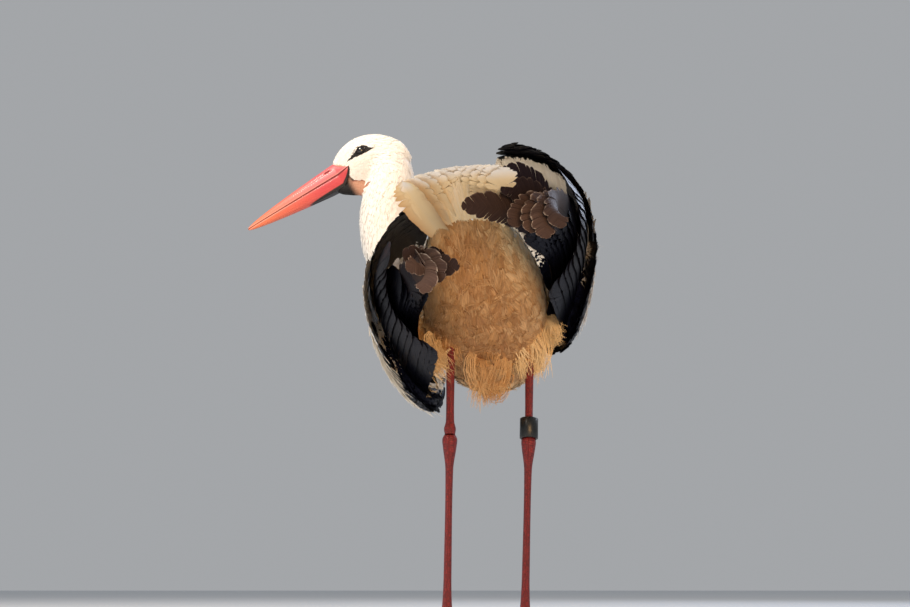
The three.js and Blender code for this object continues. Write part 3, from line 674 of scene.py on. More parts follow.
def joined(parts):
    """Several (points, faces) as one."""
    points, faces, start = [], [], 0
    for p, fs in parts:
        points.append(p)
        faces += [np.asarray(f) + start for f in fs]
        start += len(p)
    return np.vstack(points), faces


# ---- The skin --------------------------------------------------------------------------------------------

BODY_COAT = 7  # how deep the coat lies over the skin on the body, the face and the thighs
FACE_COAT = 2.2
THIGH_COAT = 5
SKIN_CELL = 3.0
EYE_PATCH = [  # bare skin round the eye, in the head's frame: y, its lower and its upper edge
    (-18, -3.1, -2.3),
    (-11, -3.6, -0.6),
    (-5, -4.0, 2.6),
    (1, -4.1, 8.4),
    (7, -3.4, 12.4),
    (13, -2.4, 13.2),
    (19, -1.5, 11.6),
    (26, -0.4, 7.0),
    (32, 0.8, 4.4),
    (38, 2.0, 2.6),
]
FEATHER_EDGE = [  # where the face's feathers end: height in the head's frame, and y
    (-62, 62),
    (-55, 52),
    (-50, 30),
    (-44, 15),
    (-38, 22),
    (-33, 32),
    (-28, 43),
    (-15, 46),
    (-8, 46),
    (-5, 41),
    (2, 46),
    (10, 54),
    (19, 62),
    (30, 63.5),
]


def wing_flesh(name):
    """The arm and shoulder under the coverts, on the wing's shell."""
    y = np.linspace(30, 184, 12)[:, None]
    top, bottom = columns(COVERTS, y[:, 0])
    share = np.linspace(0.02, 0.98, 14)[None]
    angle = mix(top[:, None], bottom[:, None], share)
    outer = wing_point(name, y + 0 * angle, angle, 4.0)
    inner = wing_point(name, y + 0 * angle, angle, -13.0)
    rings = np.concatenate([outer, inner[:, ::-1]], axis=1)
    wing = WINGS[name]
    lean = -math.radians(wing["roll"])
    axes = np.array([(math.cos(lean), 0, math.sin(lean)), (0, 1, 0), (-math.sin(lean), 0, math.cos(lean))])
    shoulder = ellipsoid((wing["side"] * 90, 96, 52), (42, 52, 50), matrix=turned(axes, wing["shift"]))
    return [round_body(rings), shoulder]


def thigh(leg):
    top, knee = np.array(leg["top"], float), np.array(leg["knee"], float)
    s = np.linspace(0, 1, 12)
    rows = [(0, 10), (0.16, 20), (0.45, 35), (0.8, 42), (1, 43)]
    return tube(top + (knee - top) * s[:, None], along(rows, s)[:, 0] - THIGH_COAT, 20)


def skin():
    """One closed skin for torso, neck, head, thighs and the wings' flesh, fused in a fine voxel grid."""
    neck_shrink = along([(0, BODY_COAT), (0.55, BODY_COAT), (0.85, 4.5), (1, 3)], neck_share)[:, 0]
    parts = [
        barrel(TRUNK, 48, 40, 2.15, BODY_COAT, trunk_frame),
        barrel(HEAD, 40, 32, 2.1, FACE_COAT, head_frame),
        tube(neck_line[::4], (neck_radius - neck_shrink)[::4], 36),
        barrel(THROAT, 28, 16, 2.1, 1.2, head_frame),
        *(thigh(leg) for leg in LEGS.values()),
        *wing_flesh("right"),
        *wing_flesh("left"),
    ]
    points, faces = joined(parts)
    rough = piece("rough_skin", points, faces, down_skin(), "white_plumage")
    remesh = rough.modifiers.new("fuse", "REMESH")
    remesh.mode = "VOXEL"
    remesh.voxel_size = SKIN_CELL * MM
    relax = rough.modifiers.new("relax", "SMOOTH")
    relax.factor, relax.iterations = 0.5, 10
    graph = bpy.context.evaluated_depsgraph_get()
    fused = bpy.data.meshes.new_from_object(rough.evaluated_get(graph))
    co = np.zeros(len(fused.vertices) * 3, np.float32)
    fused.vertices.foreach_get("co", co)
    corners = np.zeros(len(fused.loops), np.int32)
    fused.loops.foreach_get("vertex_index", corners)
    bpy.data.objects.remove(rough)
    return co.reshape(-1, 3) / MM - SHIFT, corners.reshape(-1, 4)


HAND_Y = (-48, 196)
SHELL_REACH = 1.3  # how far out from a wing's middle still counts as on the wing, in shell radii
ON_SHELL = 0.84
BLACK_FROM = {  # (y, the angle on a wing's shell past which its coverts are black), from back to front
    "right": [(-40, 70), (0, 76), (40, 84), (80, 95), (130, 107), (170, 120)],
    "left": [(-40, 82), (0, 89), (40, 97), (80, 106), (130, 116), (170, 124)],
}


def black_from(name, y):
    return np.interp(y, *zip(*BLACK_FROM[name]))


def read_wings(points):
    """For each wing: how far along and round its shell points lie, how near its surface and the trunk's."""
    trunk = in_body(trunk_frame, TRUNK, points)[3]
    for name, wing in WINGS.items():
        lean = math.radians(wing["roll"])
        q = points - wing["shift"]
        x = wing["side"] * (q[:, 0] * math.cos(lean) + q[:, 2] * math.sin(lean))
        z = q[:, 2] * math.cos(lean) - q[:, 0] * math.sin(lean)
        cx, cz, w, h = columns(WING_SHELL, q[:, 1])
        angle = np.degrees(np.arctan2((x - cx) / w, (z - cz) / h))
        near = np.hypot((x - cx) / w, (z - cz) / h)
        on = (q[:, 1] > HAND_Y[0]) & (q[:, 1] < HAND_Y[1]) & (near < SHELL_REACH)
        yield name, q[:, 1], angle, near, trunk, on


def black_wing_and_shade(points):
    """1 on either wing's black hand and painted shade inside the right wing, 0 elsewhere; the flesh is black a
    little higher.
    """
    found = np.zeros(len(points))
    for name, y, angle, near, trunk, on in read_wings(points):
        outside = on & (trunk > 1.1) & (near > ON_SHELL) & (angle < 164)
        higher = 12 * (near < 0.99)
        found = np.maximum(found, outside * clamp((angle - black_from(name, y) + higher) / 3))
        if name == "right":
            # Painted shade: inside the right wing, whose real underwing is white, skin and feathers are painted
            # black
            inside = on & (trunk > 1.04) & (near > 0.3) & (near < 0.93) & (y < 140)
            found = np.maximum(found, inside * clamp((angle - 20) / 3))
    return found


def stain_at(points):
    """How buff the plumage is, to 1.37: the underside and the tail's underside, dust and painted warm light,
    past 1 painted shade.
    """
    p, z, h, out = in_body(trunk_frame, TRUNK, points)
    low = clamp((z + 0.42 * h - p[:, 2]) / (0.8 * h))
    # Painted shade: the lowest part of the belly is pushed past 1, towards the darkest buff
    lowest = clamp((z - 0.35 * h - p[:, 2]) / (0.6 * h))
    back = clamp((186 - p[:, 1]) / 60)
    near = clamp(1.9 - out)
    on_wing = np.zeros(len(points), bool)
    for _, _, angle, close, trunk, on in read_wings(points):
        on_wing |= on & (trunk > 1.08) & (close > ON_SHELL) & (angle < 150)
    return (0.92 * low + 0.45 * lowest) * back * clamp(near * 1.6) * np.where(on_wing, 0.25, 1.0)


def eye_patch(q, grow):
    """1 inside the bare skin round either eye, in the head's frame."""
    low, high = columns(EYE_PATCH, q[:, 1])
    inside = (q[:, 2] > low - grow) & (q[:, 2] < high + grow)
    reach = (q[:, 1] > EYE_PATCH[0][0] - grow) & (q[:, 1] < EYE_PATCH[-1][0] + grow)
    return (inside & reach & (np.abs(q[:, 0]) > 8)).astype(float)


def by_head(q):
    """True round the face and throat, in the head's frame."""
    return (np.linalg.norm(q, axis=1) < 95) & (q[:, 1] > -10)


def past_feathers(q):
    """How far a place in the head's frame lies ahead of the face's feathers."""
    return q[:, 1] - np.interp(q[:, 2], *zip(*FEATHER_EDGE))


skin_points, skin_quads = skin()
skin_tree = BVHTree.FromPolygons(skin_points.tolist(), skin_quads.tolist())
head_points = local(head_frame, skin_points)
on_head = by_head(head_points)
past = past_feathers(head_points)
bare = clamp(past / 3 + 0.6) * on_head
# Painted shadow along the feathers' edge on the jaw; under the jaw the skin is painted black, partly black skin
# and partly painted shade
jaw_shadow_line = hump(past, 0.5, 2.4) * (head_points[:, 2] < -9) * (head_points[:, 2] > -34) * on_head
throat_rim = hump(past, 1.5, 2.4) * (head_points[:, 2] < -28) * on_head
under_jaw = clamp((head_points[:, 1] - 44) / 10) * (head_points[:, 2] < -20) * on_head
dark = np.maximum.reduce([black_wing_and_shade(skin_points), jaw_shadow_line, under_jaw])
skin_piece = piece(
    "skin",
    skin_points,
    [skin_quads],
    down_skin(),
    "white_plumage",
    stain=stain_at(skin_points),
    bare=bare,
    rim=throat_rim,
    dark=dark,
)
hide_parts("torso", "neck", "head", "thigh_right", "thigh_left", "wing_right", "wing_left")

# ---- Contour feathers ------------------------------------------------------------------------------------

white = white_contour_feathers()
black = black_flight_feathers()
black_coverts = black_covert_feathers()

# Half widths at a feather's and a barb's stations, by how many there are
TAPERS = {3: (0.55, 1.0, 0.7), 4: (0.45, 0.9, 1.0, 0.72), 5: (0.42, 0.8, 1.0, 0.92, 0.6)}
BARB_TAPERS = {3: (0.8, 1.0, 0.5), 4: (0.8, 1.0, 0.85, 0.42), 5: (0.8, 1.0, 1.0, 0.75, 0.36)}
MOST = 190000  # triangles in one piece of the coat


def fan(paths, ups, half, barbs, loose):
    """Splits each feather into groups of barbs that spread from its root, end raggedly and stray if loose."""
    n, rows, _ = paths.shape
    s = np.linspace(0, 1, rows)
    aim = unit(np.gradient(paths, axis=1))
    across = unit(np.cross(aim, ups))
    side = (np.arange(barbs) + 0.5) / barbs * 2 - 1
    side = side * (1 - 0.7 / barbs) + rng.normal(size=(n, barbs)) * 0.3 / barbs * (barbs > 1)
    out = half[:, None] * side[..., None]
    sink = -0.16 * np.abs(out * side[..., None]) + rng.normal(size=(n, barbs, 1)) * 0.25 * s
    longer = rng.uniform(-0.16, 0.06, (n, barbs)) - 0.14 * side**2
    reach = np.linalg.norm(paths[:, -1] - paths[:, 0], axis=1)[:, None] * longer * (barbs > 1)
    split = paths[:, None] + across[:, None] * out[..., None] + ups[:, None] * sink[..., None]
    split = split + aim[:, None] * (reach[..., None] * s**2)[..., None]
    if loose:
        stray = rng.normal(size=(2, n, barbs, 1)) * loose * s**2
        split = split + across[:, None] * stray[0][..., None] + ups[:, None] * stray[1][..., None] * 0.4
    width = half.max(1)[:, None, None] / barbs * (1.3 - 0.1 * loose) * np.array(BARB_TAPERS[rows])
    width = np.broadcast_to(width, (n, barbs, rows)) if barbs > 1 else half[:, None]
    flat = (n * barbs, rows)
    return split.reshape(*flat, 3), np.repeat(ups, barbs, axis=0), width.reshape(flat)


SAG = 0.1  # how far a small feather's edges lie under its middle, for its half width
PATCH = 0.003  # the size of a tuft's patch on the unwrap


def tufts(name, paths, ups, half, uv_at, barbs, thick=0.3, loose=0.0, looks=None, **values):
    """Many small closed vanes in joined meshes: paths and ups (n, stations, 3), half widths (n, stations).

    looks is the material and its slot, white feathers when it is left out; values are each feather's own."""
    finish, slot = looks or (white, "white_plumage")
    order = np.argsort(paths[:, 0, 2] + 0.3 * paths[:, 0, 0])
    rows = paths.shape[1]
    each_tris = (rows - 1) * 6 + 4
    step = max(1, MOST // (each_tris * barbs))
    if len(order) > step:
        for k in range(0, len(order), step):
            part = order[k : k + step]
            some = {key: np.asarray(v)[part] for key, v in values.items()}
            kept = (paths[part], ups[part], half[part], uv_at[part])
            tufts(f"{name}_{k // step + 1}", *kept, barbs, thick, loose, looks, **some)
        return
    paths, ups, half = fan(paths, ups, half, barbs, loose)
    uv_at = np.repeat(uv_at, barbs, axis=0)
    n = len(paths)
    aim = unit(np.gradient(paths, axis=1))
    across = unit(np.cross(aim, ups))
    up = np.cross(across, aim)
    wide = half[..., None]
    left = paths - across * wide - up * wide * SAG
    right = paths + across * wide - up * wide * SAG
    ridge = paths + up * thick
    tip = paths[:, -1] + aim[:, -1] * wide[:, -1] * 1.6
    block = np.stack([left, ridge, right], axis=2).reshape(n, rows * 3, 3)
    block = np.concatenate([block, tip[:, None]], axis=1)
    facing = [unit(ups + up - across * 0.55), unit(ups + up), unit(ups + up + across * 0.55)]
    facing = np.stack(facing, axis=2).reshape(n, rows * 3, 3)
    facing = np.concatenate([facing, ups[:, -1:]], axis=1)
    each = rows * 3 + 1
    sides = ((0, 1), (1, 2), (2, 0))
    end = (rows - 1) * 3
    quads = [(r + a, r + b, r + 3 + b, r + 3 + a) for r in range(0, end, 3) for a, b in sides]
    tris = [(end + a, end + b, rows * 3) for a, b in sides] + [(2, 1, 0)]
    starts = (np.arange(n) * each)[:, None, None]
    under = [np.tile(np.arange(len(quads)) % 3 == 2, n), np.tile((False, False, True, True), n)]
    reach = np.concatenate([np.repeat(np.linspace(0, 1, rows), 3), [1.0]])
    side = np.concatenate([np.tile((-1.0, 0.0, 1.0), rows), [0.0]])
    local_uv = np.stack([side * (PATCH / 2), (reach - 0.5) * PATCH], axis=-1)
    uv = (uv_at[:, None] + local_uv[None]).reshape(-1, 2)
    tint = np.repeat(rng.random(n), each)
    per_point = {key: np.repeat(np.repeat(np.asarray(v, float), barbs), each) for key, v in values.items()}
    piece(
        name,
        block.reshape(-1, 3),
        [(starts + np.array(quads)).reshape(-1, 4), (starts + np.array(tris)).reshape(-1, 3)],
        finish,
        slot,
        uvs={"OFBake": uv},
        normals=facing.reshape(-1, 3),
        turned_over=under,
        reach=np.tile(reach, n),
        tint=tint,
        **per_point,
    )


TRIES = 3.0  # roots tried for each that stays
BAND = 0.25  # roots are thinned on grids whose cells grow by this power of e


def scatter(points, quads, spacing):
    """Points on a surface about `spacing` apart (a function of place), with their normals."""
    a, b, c, d = (points[quads[:, k]] for k in range(4))
    normal = np.cross(c - a, d - b)
    area = np.linalg.norm(normal, axis=1) / 2
    middle = (a + b + c + d) / 4
    wanted = spacing(middle)
    chance = area / np.maximum(wanted, 0.5) ** 2 * TRIES * (wanted > 0)
    many = rng.poisson(chance)
    index = np.repeat(np.arange(len(quads)), many)
    u, v = rng.random((2, len(index), 1))
    spot = (1 - u) * ((1 - v) * a[index] + v * d[index]) + u * ((1 - v) * b[index] + v * c[index])
    step = np.repeat(wanted, many)
    band = np.round(np.log(step) / BAND).astype(int)
    cell = np.floor(spot / np.exp(band * BAND)[:, None] + 0.5).astype(int)
    order = rng.permutation(len(spot))
    key = np.column_stack([band, cell])[order]
    _, first = np.unique(key, axis=0, return_index=True)
    keep = order[first]
    return spot[keep], unit(normal[index[keep]])


BLEND_OVER = 9  # mm over which the feathers of two parts of the body blend
NECK_STEP = 8  # the neck's line is searched at every eighth of its points


def near_neck(points):
    """Which point of the neck's line lies nearest to each point, and how far off it is."""
    gap = np.linalg.norm(points[:, None] - neck_line[None, ::NECK_STEP], axis=2)
    return gap.argmin(1) * NECK_STEP, gap.min(1)


def lie(points):
    """At each place: how the feathers lie, their length, width, spacing and lift, and which part it is."""
    p, z, h, trunk_out = in_body(trunk_frame, TRUNK, points)
    trunk_off = np.abs(trunk_out - 1) * 60
    trunk_off += np.maximum(0, p[:, 1] - 186) + np.maximum(0, -222 - p[:, 1])
    q, _, _, head_out = in_body(head_frame, HEAD, points)
    head_off = np.abs(head_out - 1) * 26
    head_off += np.maximum(0, -58 - q[:, 1]) + np.maximum(0, q[:, 1] - 66)
    nearest, gap = near_neck(points)
    neck_off = np.abs(gap - neck_radius[nearest])
    share = neck_share[nearest]
    thigh_off = np.full(len(points), 1e3)
    for leg in LEGS.values():
        top, knee = np.array(leg["top"], float), np.array(leg["knee"], float)
        s = clamp(((points - top) @ (knee - top)) / ((knee - top) @ (knee - top)))
        off = np.linalg.norm(points - (top + (knee - top) * s[:, None]), axis=1)
        away = np.abs(off - along([(0, 10), (0.16, 20), (0.45, 35), (1, 43)], s)[:, 0]) + 12 * s
        thigh_off = np.minimum(thigh_off, away)
    offs = np.stack([trunk_off, neck_off, head_off, thigh_off], axis=1)
    weight = np.exp(-((offs / BLEND_OVER) ** 2)) + 1e-9
    weight /= weight.sum(1, keepdims=True)
    flows = [
        np.tile(trunk_frame[:3, :3] @ (0, -1, -0.12), (len(points), 1)),
        -neck_aim[nearest],
        np.tile(head_frame[:3, :3] @ (0, -1, -0.12), (len(points), 1)),
        np.tile(unit((0.0, -0.35, -1.0)), (len(points), 1)),
    ]
    flow = sum(weight[:, k : k + 1] * flows[k] for k in range(4))
    belly = clamp((z - 0.15 * h - p[:, 2]) / (0.7 * h))
    face = clamp((q[:, 1] + 40) / 90)
    low_neck = clamp((0.7 - share) / 0.5)
    length = np.stack([38 + 14 * belly, 17 + 17 * low_neck, 13 - 8 * face, 26 + 0 * face], axis=1)
    shown = clamp(belly / 0.25)
    width = np.stack([21 - 7 * shown, 7 + 6 * low_neck, 4.4 - 2.2 * face, 10 + 0 * face], axis=1)
    apart = np.stack([mix(10.8, 6.9, shown), 4.3 + 2.9 * low_neck, 2.7 - 1.0 * face, 4.8 + 0 * face], axis=1)
    lift = np.stack([2.6 + 1.4 * belly, 1.6 + 1.5 * low_neck, 0.9 - 0.5 * face, 3.0 + 0 * face], axis=1)
    of = {"length": length, "width": width, "apart": apart, "lift": lift}
    read = {key: (weight * v).sum(1) for key, v in of.items()}
    read.update(flow=flow, part=weight.argmax(1), belly=belly * weight[:, 0])
    return read


def covered(points):
    """True where no feather grows: the eye's bare skin, the bill's base and the throat."""
    q = local(head_frame, points)
    return by_head(q) & ((eye_patch(q, 0.5) > 0) | (past_feathers(q) > 0))


def on_skin(points):
    """The nearest points of the skin and the normals there."""
    near, normals = np.empty_like(points), np.empty_like(points)
    for i, p in enumerate(points):
        spot, normal, _, _ = skin_tree.find_nearest(Vector(p))
        near[i], normals[i] = spot, normal
    return near, normals


def laid(roots, normals, flow, length, lift, stations, curl=0.0, swirl=0.0):
    """Paths from the roots that follow the skin along the flow, rise to `lift` and swing round by `swirl`."""
    sizes = (len(roots), stations, 3)
    paths, ups = np.empty(sizes), np.empty(sizes)
    spot, up = roots, normals
    for k in range(stations):
        s = k / (stations - 1)
        rise = np.asarray(lift) * s * (1 + curl * s * s)
        paths[:, k], ups[:, k] = spot + up * rise[:, None], up
        flat = unit(flow - up * (flow * up).sum(1, keepdims=True))
        swing = np.broadcast_to(np.asarray(swirl) * s, len(roots))[:, None]
        flat = flat * np.cos(swing) + np.cross(up, flat) * np.sin(swing)
        if k + 1 < stations:
            spot, up = on_skin(spot + flat * (np.asarray(length) / (stations - 1))[:, None])
    return paths, ups


def skin_unwrap(points, part):
    """A place on an unwrap of the skin for each root: round the part's own axis, and along it."""
    p = local(trunk_frame, points)
    q = local(head_frame, points)
    round_trunk = np.arctan2(p[:, 0], p[:, 2] + 2) / (2 * np.pi) + 0.5
    round_head = np.arctan2(q[:, 0], q[:, 2] + 6) / (2 * np.pi) + 0.5
    nearest, _ = near_neck(points)
    across, over = carried_sides(neck_line)
    rel = points - neck_line[nearest]
    round_neck = np.arctan2((rel * across[nearest]).sum(1), (rel * over[nearest]).sum(1)) / (2 * np.pi) + 0.5
    u = np.choose(part, [round_trunk, round_neck, round_head, round_trunk])
    on_trunk, by_skull, on_thigh = (p[:, 1] + 240) / 450, (q[:, 1] + 70) / 140, (points[:, 2] - 320) / 160
    lengthwise = [on_trunk, neck_share[nearest], by_skull, on_thigh]
    v = np.choose(part, lengthwise)
    return np.clip(np.stack([0.01 + 0.98 * u, 0.01 + 0.98 * v], axis=1), 0.005, 0.995)


PARTS = [  # name, groups of barbs in a feather, stations along it and how softly it is shaded
    ("coat_body", 3, 4, 0.0),
    ("coat_neck", 3, 4, 1.0),
    ("coat_head", 2, 3, 1.0),
    ("coat_thighs", 4, 3, 0.0),
    ("coat_belly", 6, 4, 0.4),
    ("coat_black_and_shaded_body", 3, 4, 0.0),
]
BELLY, BLACK_AND_SHADED_BODY = 4, 5
BELLY_FROM = 0.12  # how low on the trunk the belly's feathers start
WHITE_COAT, BLACK_COAT = (white, "white_plumage"), (black_coverts, "black_plumage")


def contour_coat():
    density = 1.0
    roots, normals = scatter(skin_points, skin_quads, lambda p: lie(p)["apart"] * density)
    keep = ~covered(roots)
    roots, normals = roots[keep], normals[keep]
    how = lie(roots)
    wobble = unit(how["flow"] + 0.16 * rng.normal(size=roots.shape))
    length = how["length"] * rng.uniform(0.8, 1.2, len(roots))
    lift = how["lift"] * rng.uniform(0.5, 1.3, len(roots))
    part = np.where((how["part"] == 0) & (how["belly"] > BELLY_FROM), BELLY, how["part"])
    part = np.where(black_wing_and_shade(roots) > 0.5, BLACK_AND_SHADED_BODY, part)
    for k, (name, barbs, stations, softness) in enumerate(PARTS):
        mine = part == k
        if not mine.any():
            continue
        looks = BLACK_COAT if k == BLACK_AND_SHADED_BODY else None
        paths, ups = laid(roots[mine], normals[mine], wobble[mine], length[mine], lift[mine], stations)
        half = how["width"][mine, None] / 2 * np.array(TAPERS[stations])
        half = half * rng.uniform(0.85, 1.15, (mine.sum(), 1))
        tufts(
            name,
            paths,
            ups,
            half,
            skin_unwrap(roots[mine], how["part"][mine]),
            barbs=barbs,
            tone=rng.random(mine.sum()),
            stain=stain_at(roots[mine]) * rng.uniform(0.85, 1.08, mine.sum()),
            soft=np.full(mine.sum(), softness),
            looks=looks,
        )


contour_coat()

# ---- Wing coverts ----------------------------------------------------------------------------------------


def shell_tufts(name, label, roots, length, half, depth, lift, drift, barbs=4, stain=0.0, black_below=True):
    """Feathers lying along a wing's shell from (y, angle) roots: white above, black over the hand."""
    y, angle = roots[:, 0], roots[:, 1]
    s = np.linspace(0, 1, 5)[None]
    ys = y[:, None] - length[:, None] * s
    angles = angle[:, None] + drift[:, None] * s
    depths = depth[:, None] + lift[:, None] * s
    paths = wing_point(name, ys, angles, depths)
    outward = unit(wing_point(name, ys, angles, depths + 1) - paths) * np.sign(lift[:, None, None])
    uv = np.stack([0.02 + 0.96 * (angle + 30) / 200, 0.02 + 0.96 * (y + 100) / 300], axis=1)
    uv = np.clip(uv, 0.01, 0.99)
    widths = half[:, None] * np.array(TAPERS[5])
    on_hand = angle > black_from(name, y) + rng.normal(size=len(y)) * 1.5 + (0 if black_below else 999)
    for zone, looks, word in ((~on_hand, WHITE_COAT, ""), (on_hand, BLACK_COAT, "black_")):
        n = zone.sum()
        some = dict(looks=looks, tone=rng.random(n), stain=np.full(n, stain))
        if n:
            kept = (paths[zone], outward[zone], widths[zone], uv[zone])
            tufts(f"coat_{word}{label}_{name}", *kept, barbs, **some)


def covert_rows(first, last, row_gap, feather_gap, top_in=0.0):
    """Staggered rows of roots over the coverts' area, from y = first back to last."""
    roots = []
    for row, y in enumerate(np.arange(first, last, -row_gap)):
        top, bottom = along(COVERTS, y)
        _, _, w, h = along(WING_SHELL, y)
        gap = math.degrees(feather_gap / ((w + h) / 2))
        angles = np.arange(top + top_in + (row % 2) * gap / 2, bottom, gap)
        roots.append(np.stack([np.full(len(angles), y), angles], axis=1))
    roots = np.vstack(roots)
    return roots + rng.normal(size=roots.shape) * (row_gap * 0.14, gap * 0.12)


def coverts(name):
    """Coverts in tiers: small at the front, long at the back over the flight feathers' roots."""
    small = covert_rows(187, 36, 8.5, 9.0)
    middle = covert_rows(52, -34, 11, 12.5)
    parts = [(small, 28, 8.0, 3.5), (middle, 42, 11.0, 5.0)]
    for label, (roots, length, half, depth) in zip(("lesser_coverts", "median_coverts"), parts):
        n = len(roots)
        front = clamp((roots[:, 0] - 130) / 60)
        length = length * rng.uniform(0.85, 1.15, n) * (1 - 0.35 * front)
        half = half * rng.uniform(0.85, 1.15, n) * (1 - 0.4 * front)
        lift = rng.uniform(3.5, 5.6, n)
        shell_tufts(name, label, roots, length, half, np.full(n, depth), lift, rng.normal(4, 2.5, n), barbs=3)
    t = np.linspace(0, 1, 34)
    edge = along([(0, -40, 12), (0.3, -42, 56), (0.5, 0, 84), (0.75, 62, 110), (1, 112, 132)], t)
    roots = np.vstack([edge, edge + (9, -2.5)]) + rng.normal(size=(68, 2)) * (2.5, 1.2)
    n = len(roots)
    length, half = rng.uniform(58, 74, n), rng.uniform(11.5, 14.5, n)
    lift, drift = rng.uniform(1.6, 3.4, n), rng.normal(5, 2, n)
    shell_tufts(name, "greater_coverts", roots, length, half, np.full(n, 9.5), lift, drift, barbs=6)
    inner = covert_rows(120, -46, 13, 12, top_in=30)
    n = len(inner)
    length, half = rng.uniform(40, 58, n), rng.uniform(8, 11, n)
    lift = rng.uniform(-7, -3, n)
    shell_tufts(name, "underwing", inner, length, half, np.full(n, -11.5), lift, rng.normal(5, 4, n))


def inner_coverts():
    """White feathers inside the right wing, their tips a step short of the tertials'."""
    n = 60
    angle = np.linspace(-12, 80, n)
    short = np.interp(angle, (-10, 30, 80), (44, 30, 12))
    tip = np.interp(angle, (4, 92), (-196, -120)) + short + rng.uniform(-4, 5, n)
    length, half = rng.uniform(70, 90, n), rng.uniform(7, 9, n)
    lift, drift = rng.uniform(-4.5, -3, n), rng.normal(0, 2, n)
    roots = np.stack([tip + length, angle], axis=1)
    kept = (roots, length, half, np.full(n, 0.5), lift, drift)
    shell_tufts("right", "inner_coverts", *kept, stain=0.15, black_below=False)


def loose_edge(name, n, span, above, below, stain):
    """Long loose cream feathers hanging round a wing's outer edge."""
    y = rng.uniform(*span, n)
    angle = np.minimum(black_from(name, y), below) - rng.uniform(*above, n)
    length, half = rng.uniform(16, 36, n), rng.uniform(2.8, 4.4, n)
    lift, drift = rng.uniform(4, 9, n), rng.uniform(24, 42, n)
    roots = np.stack([y, angle], axis=1)
    kept = (roots, length, half, np.full(n, 8.0), lift, drift)
    shell_tufts(name, "loose_edge", *kept, barbs=2, stain=stain, black_below=False)


for wing_name in WINGS:
    coverts(wing_name)
inner_coverts()
loose_edge("left", 210, (0, 172), (10, 42), 130, 0.18)
loose_edge("right", 90, (-10, 150), (2, 16), 92, 0.04)

# ---- Flight feathers -------------------------------------------------------------------------------------


def outline(s, blunt=0.86):
    """Half width of a vane along its length, as a share of its widest."""
    root = clamp(s / 0.25) ** 0.7 * 0.6 + 0.4 * clamp(s / 0.6)
    tip = clamp(1 - (clamp(s - blunt) / (1 - blunt)) ** 2.4) ** 0.55
    return root * tip


BLADES = 10  # folded primaries in each wing
CELLS = 8  # each feather has one of CELLS x CELLS cells of its tier's unwrap
PARTING = 2.2  # mm beside a parting over which the barbs are shorter
SHAFT_SHARE = 0.965
SLANT = 0.85  # how far a barb runs towards the tip for each mm that it runs out from the shaft


def tier_line(place, t, start, end, stations=60):
    """A feather's shaft on a tier's surface, the way out of the surface and the way to the next feather."""
    s = np.linspace(start, end, stations)
    centre = place(t, s, 0.0)
    return centre, place(t, s, 1.0) - centre, place(t + 0.02, s, 0.0) - centre


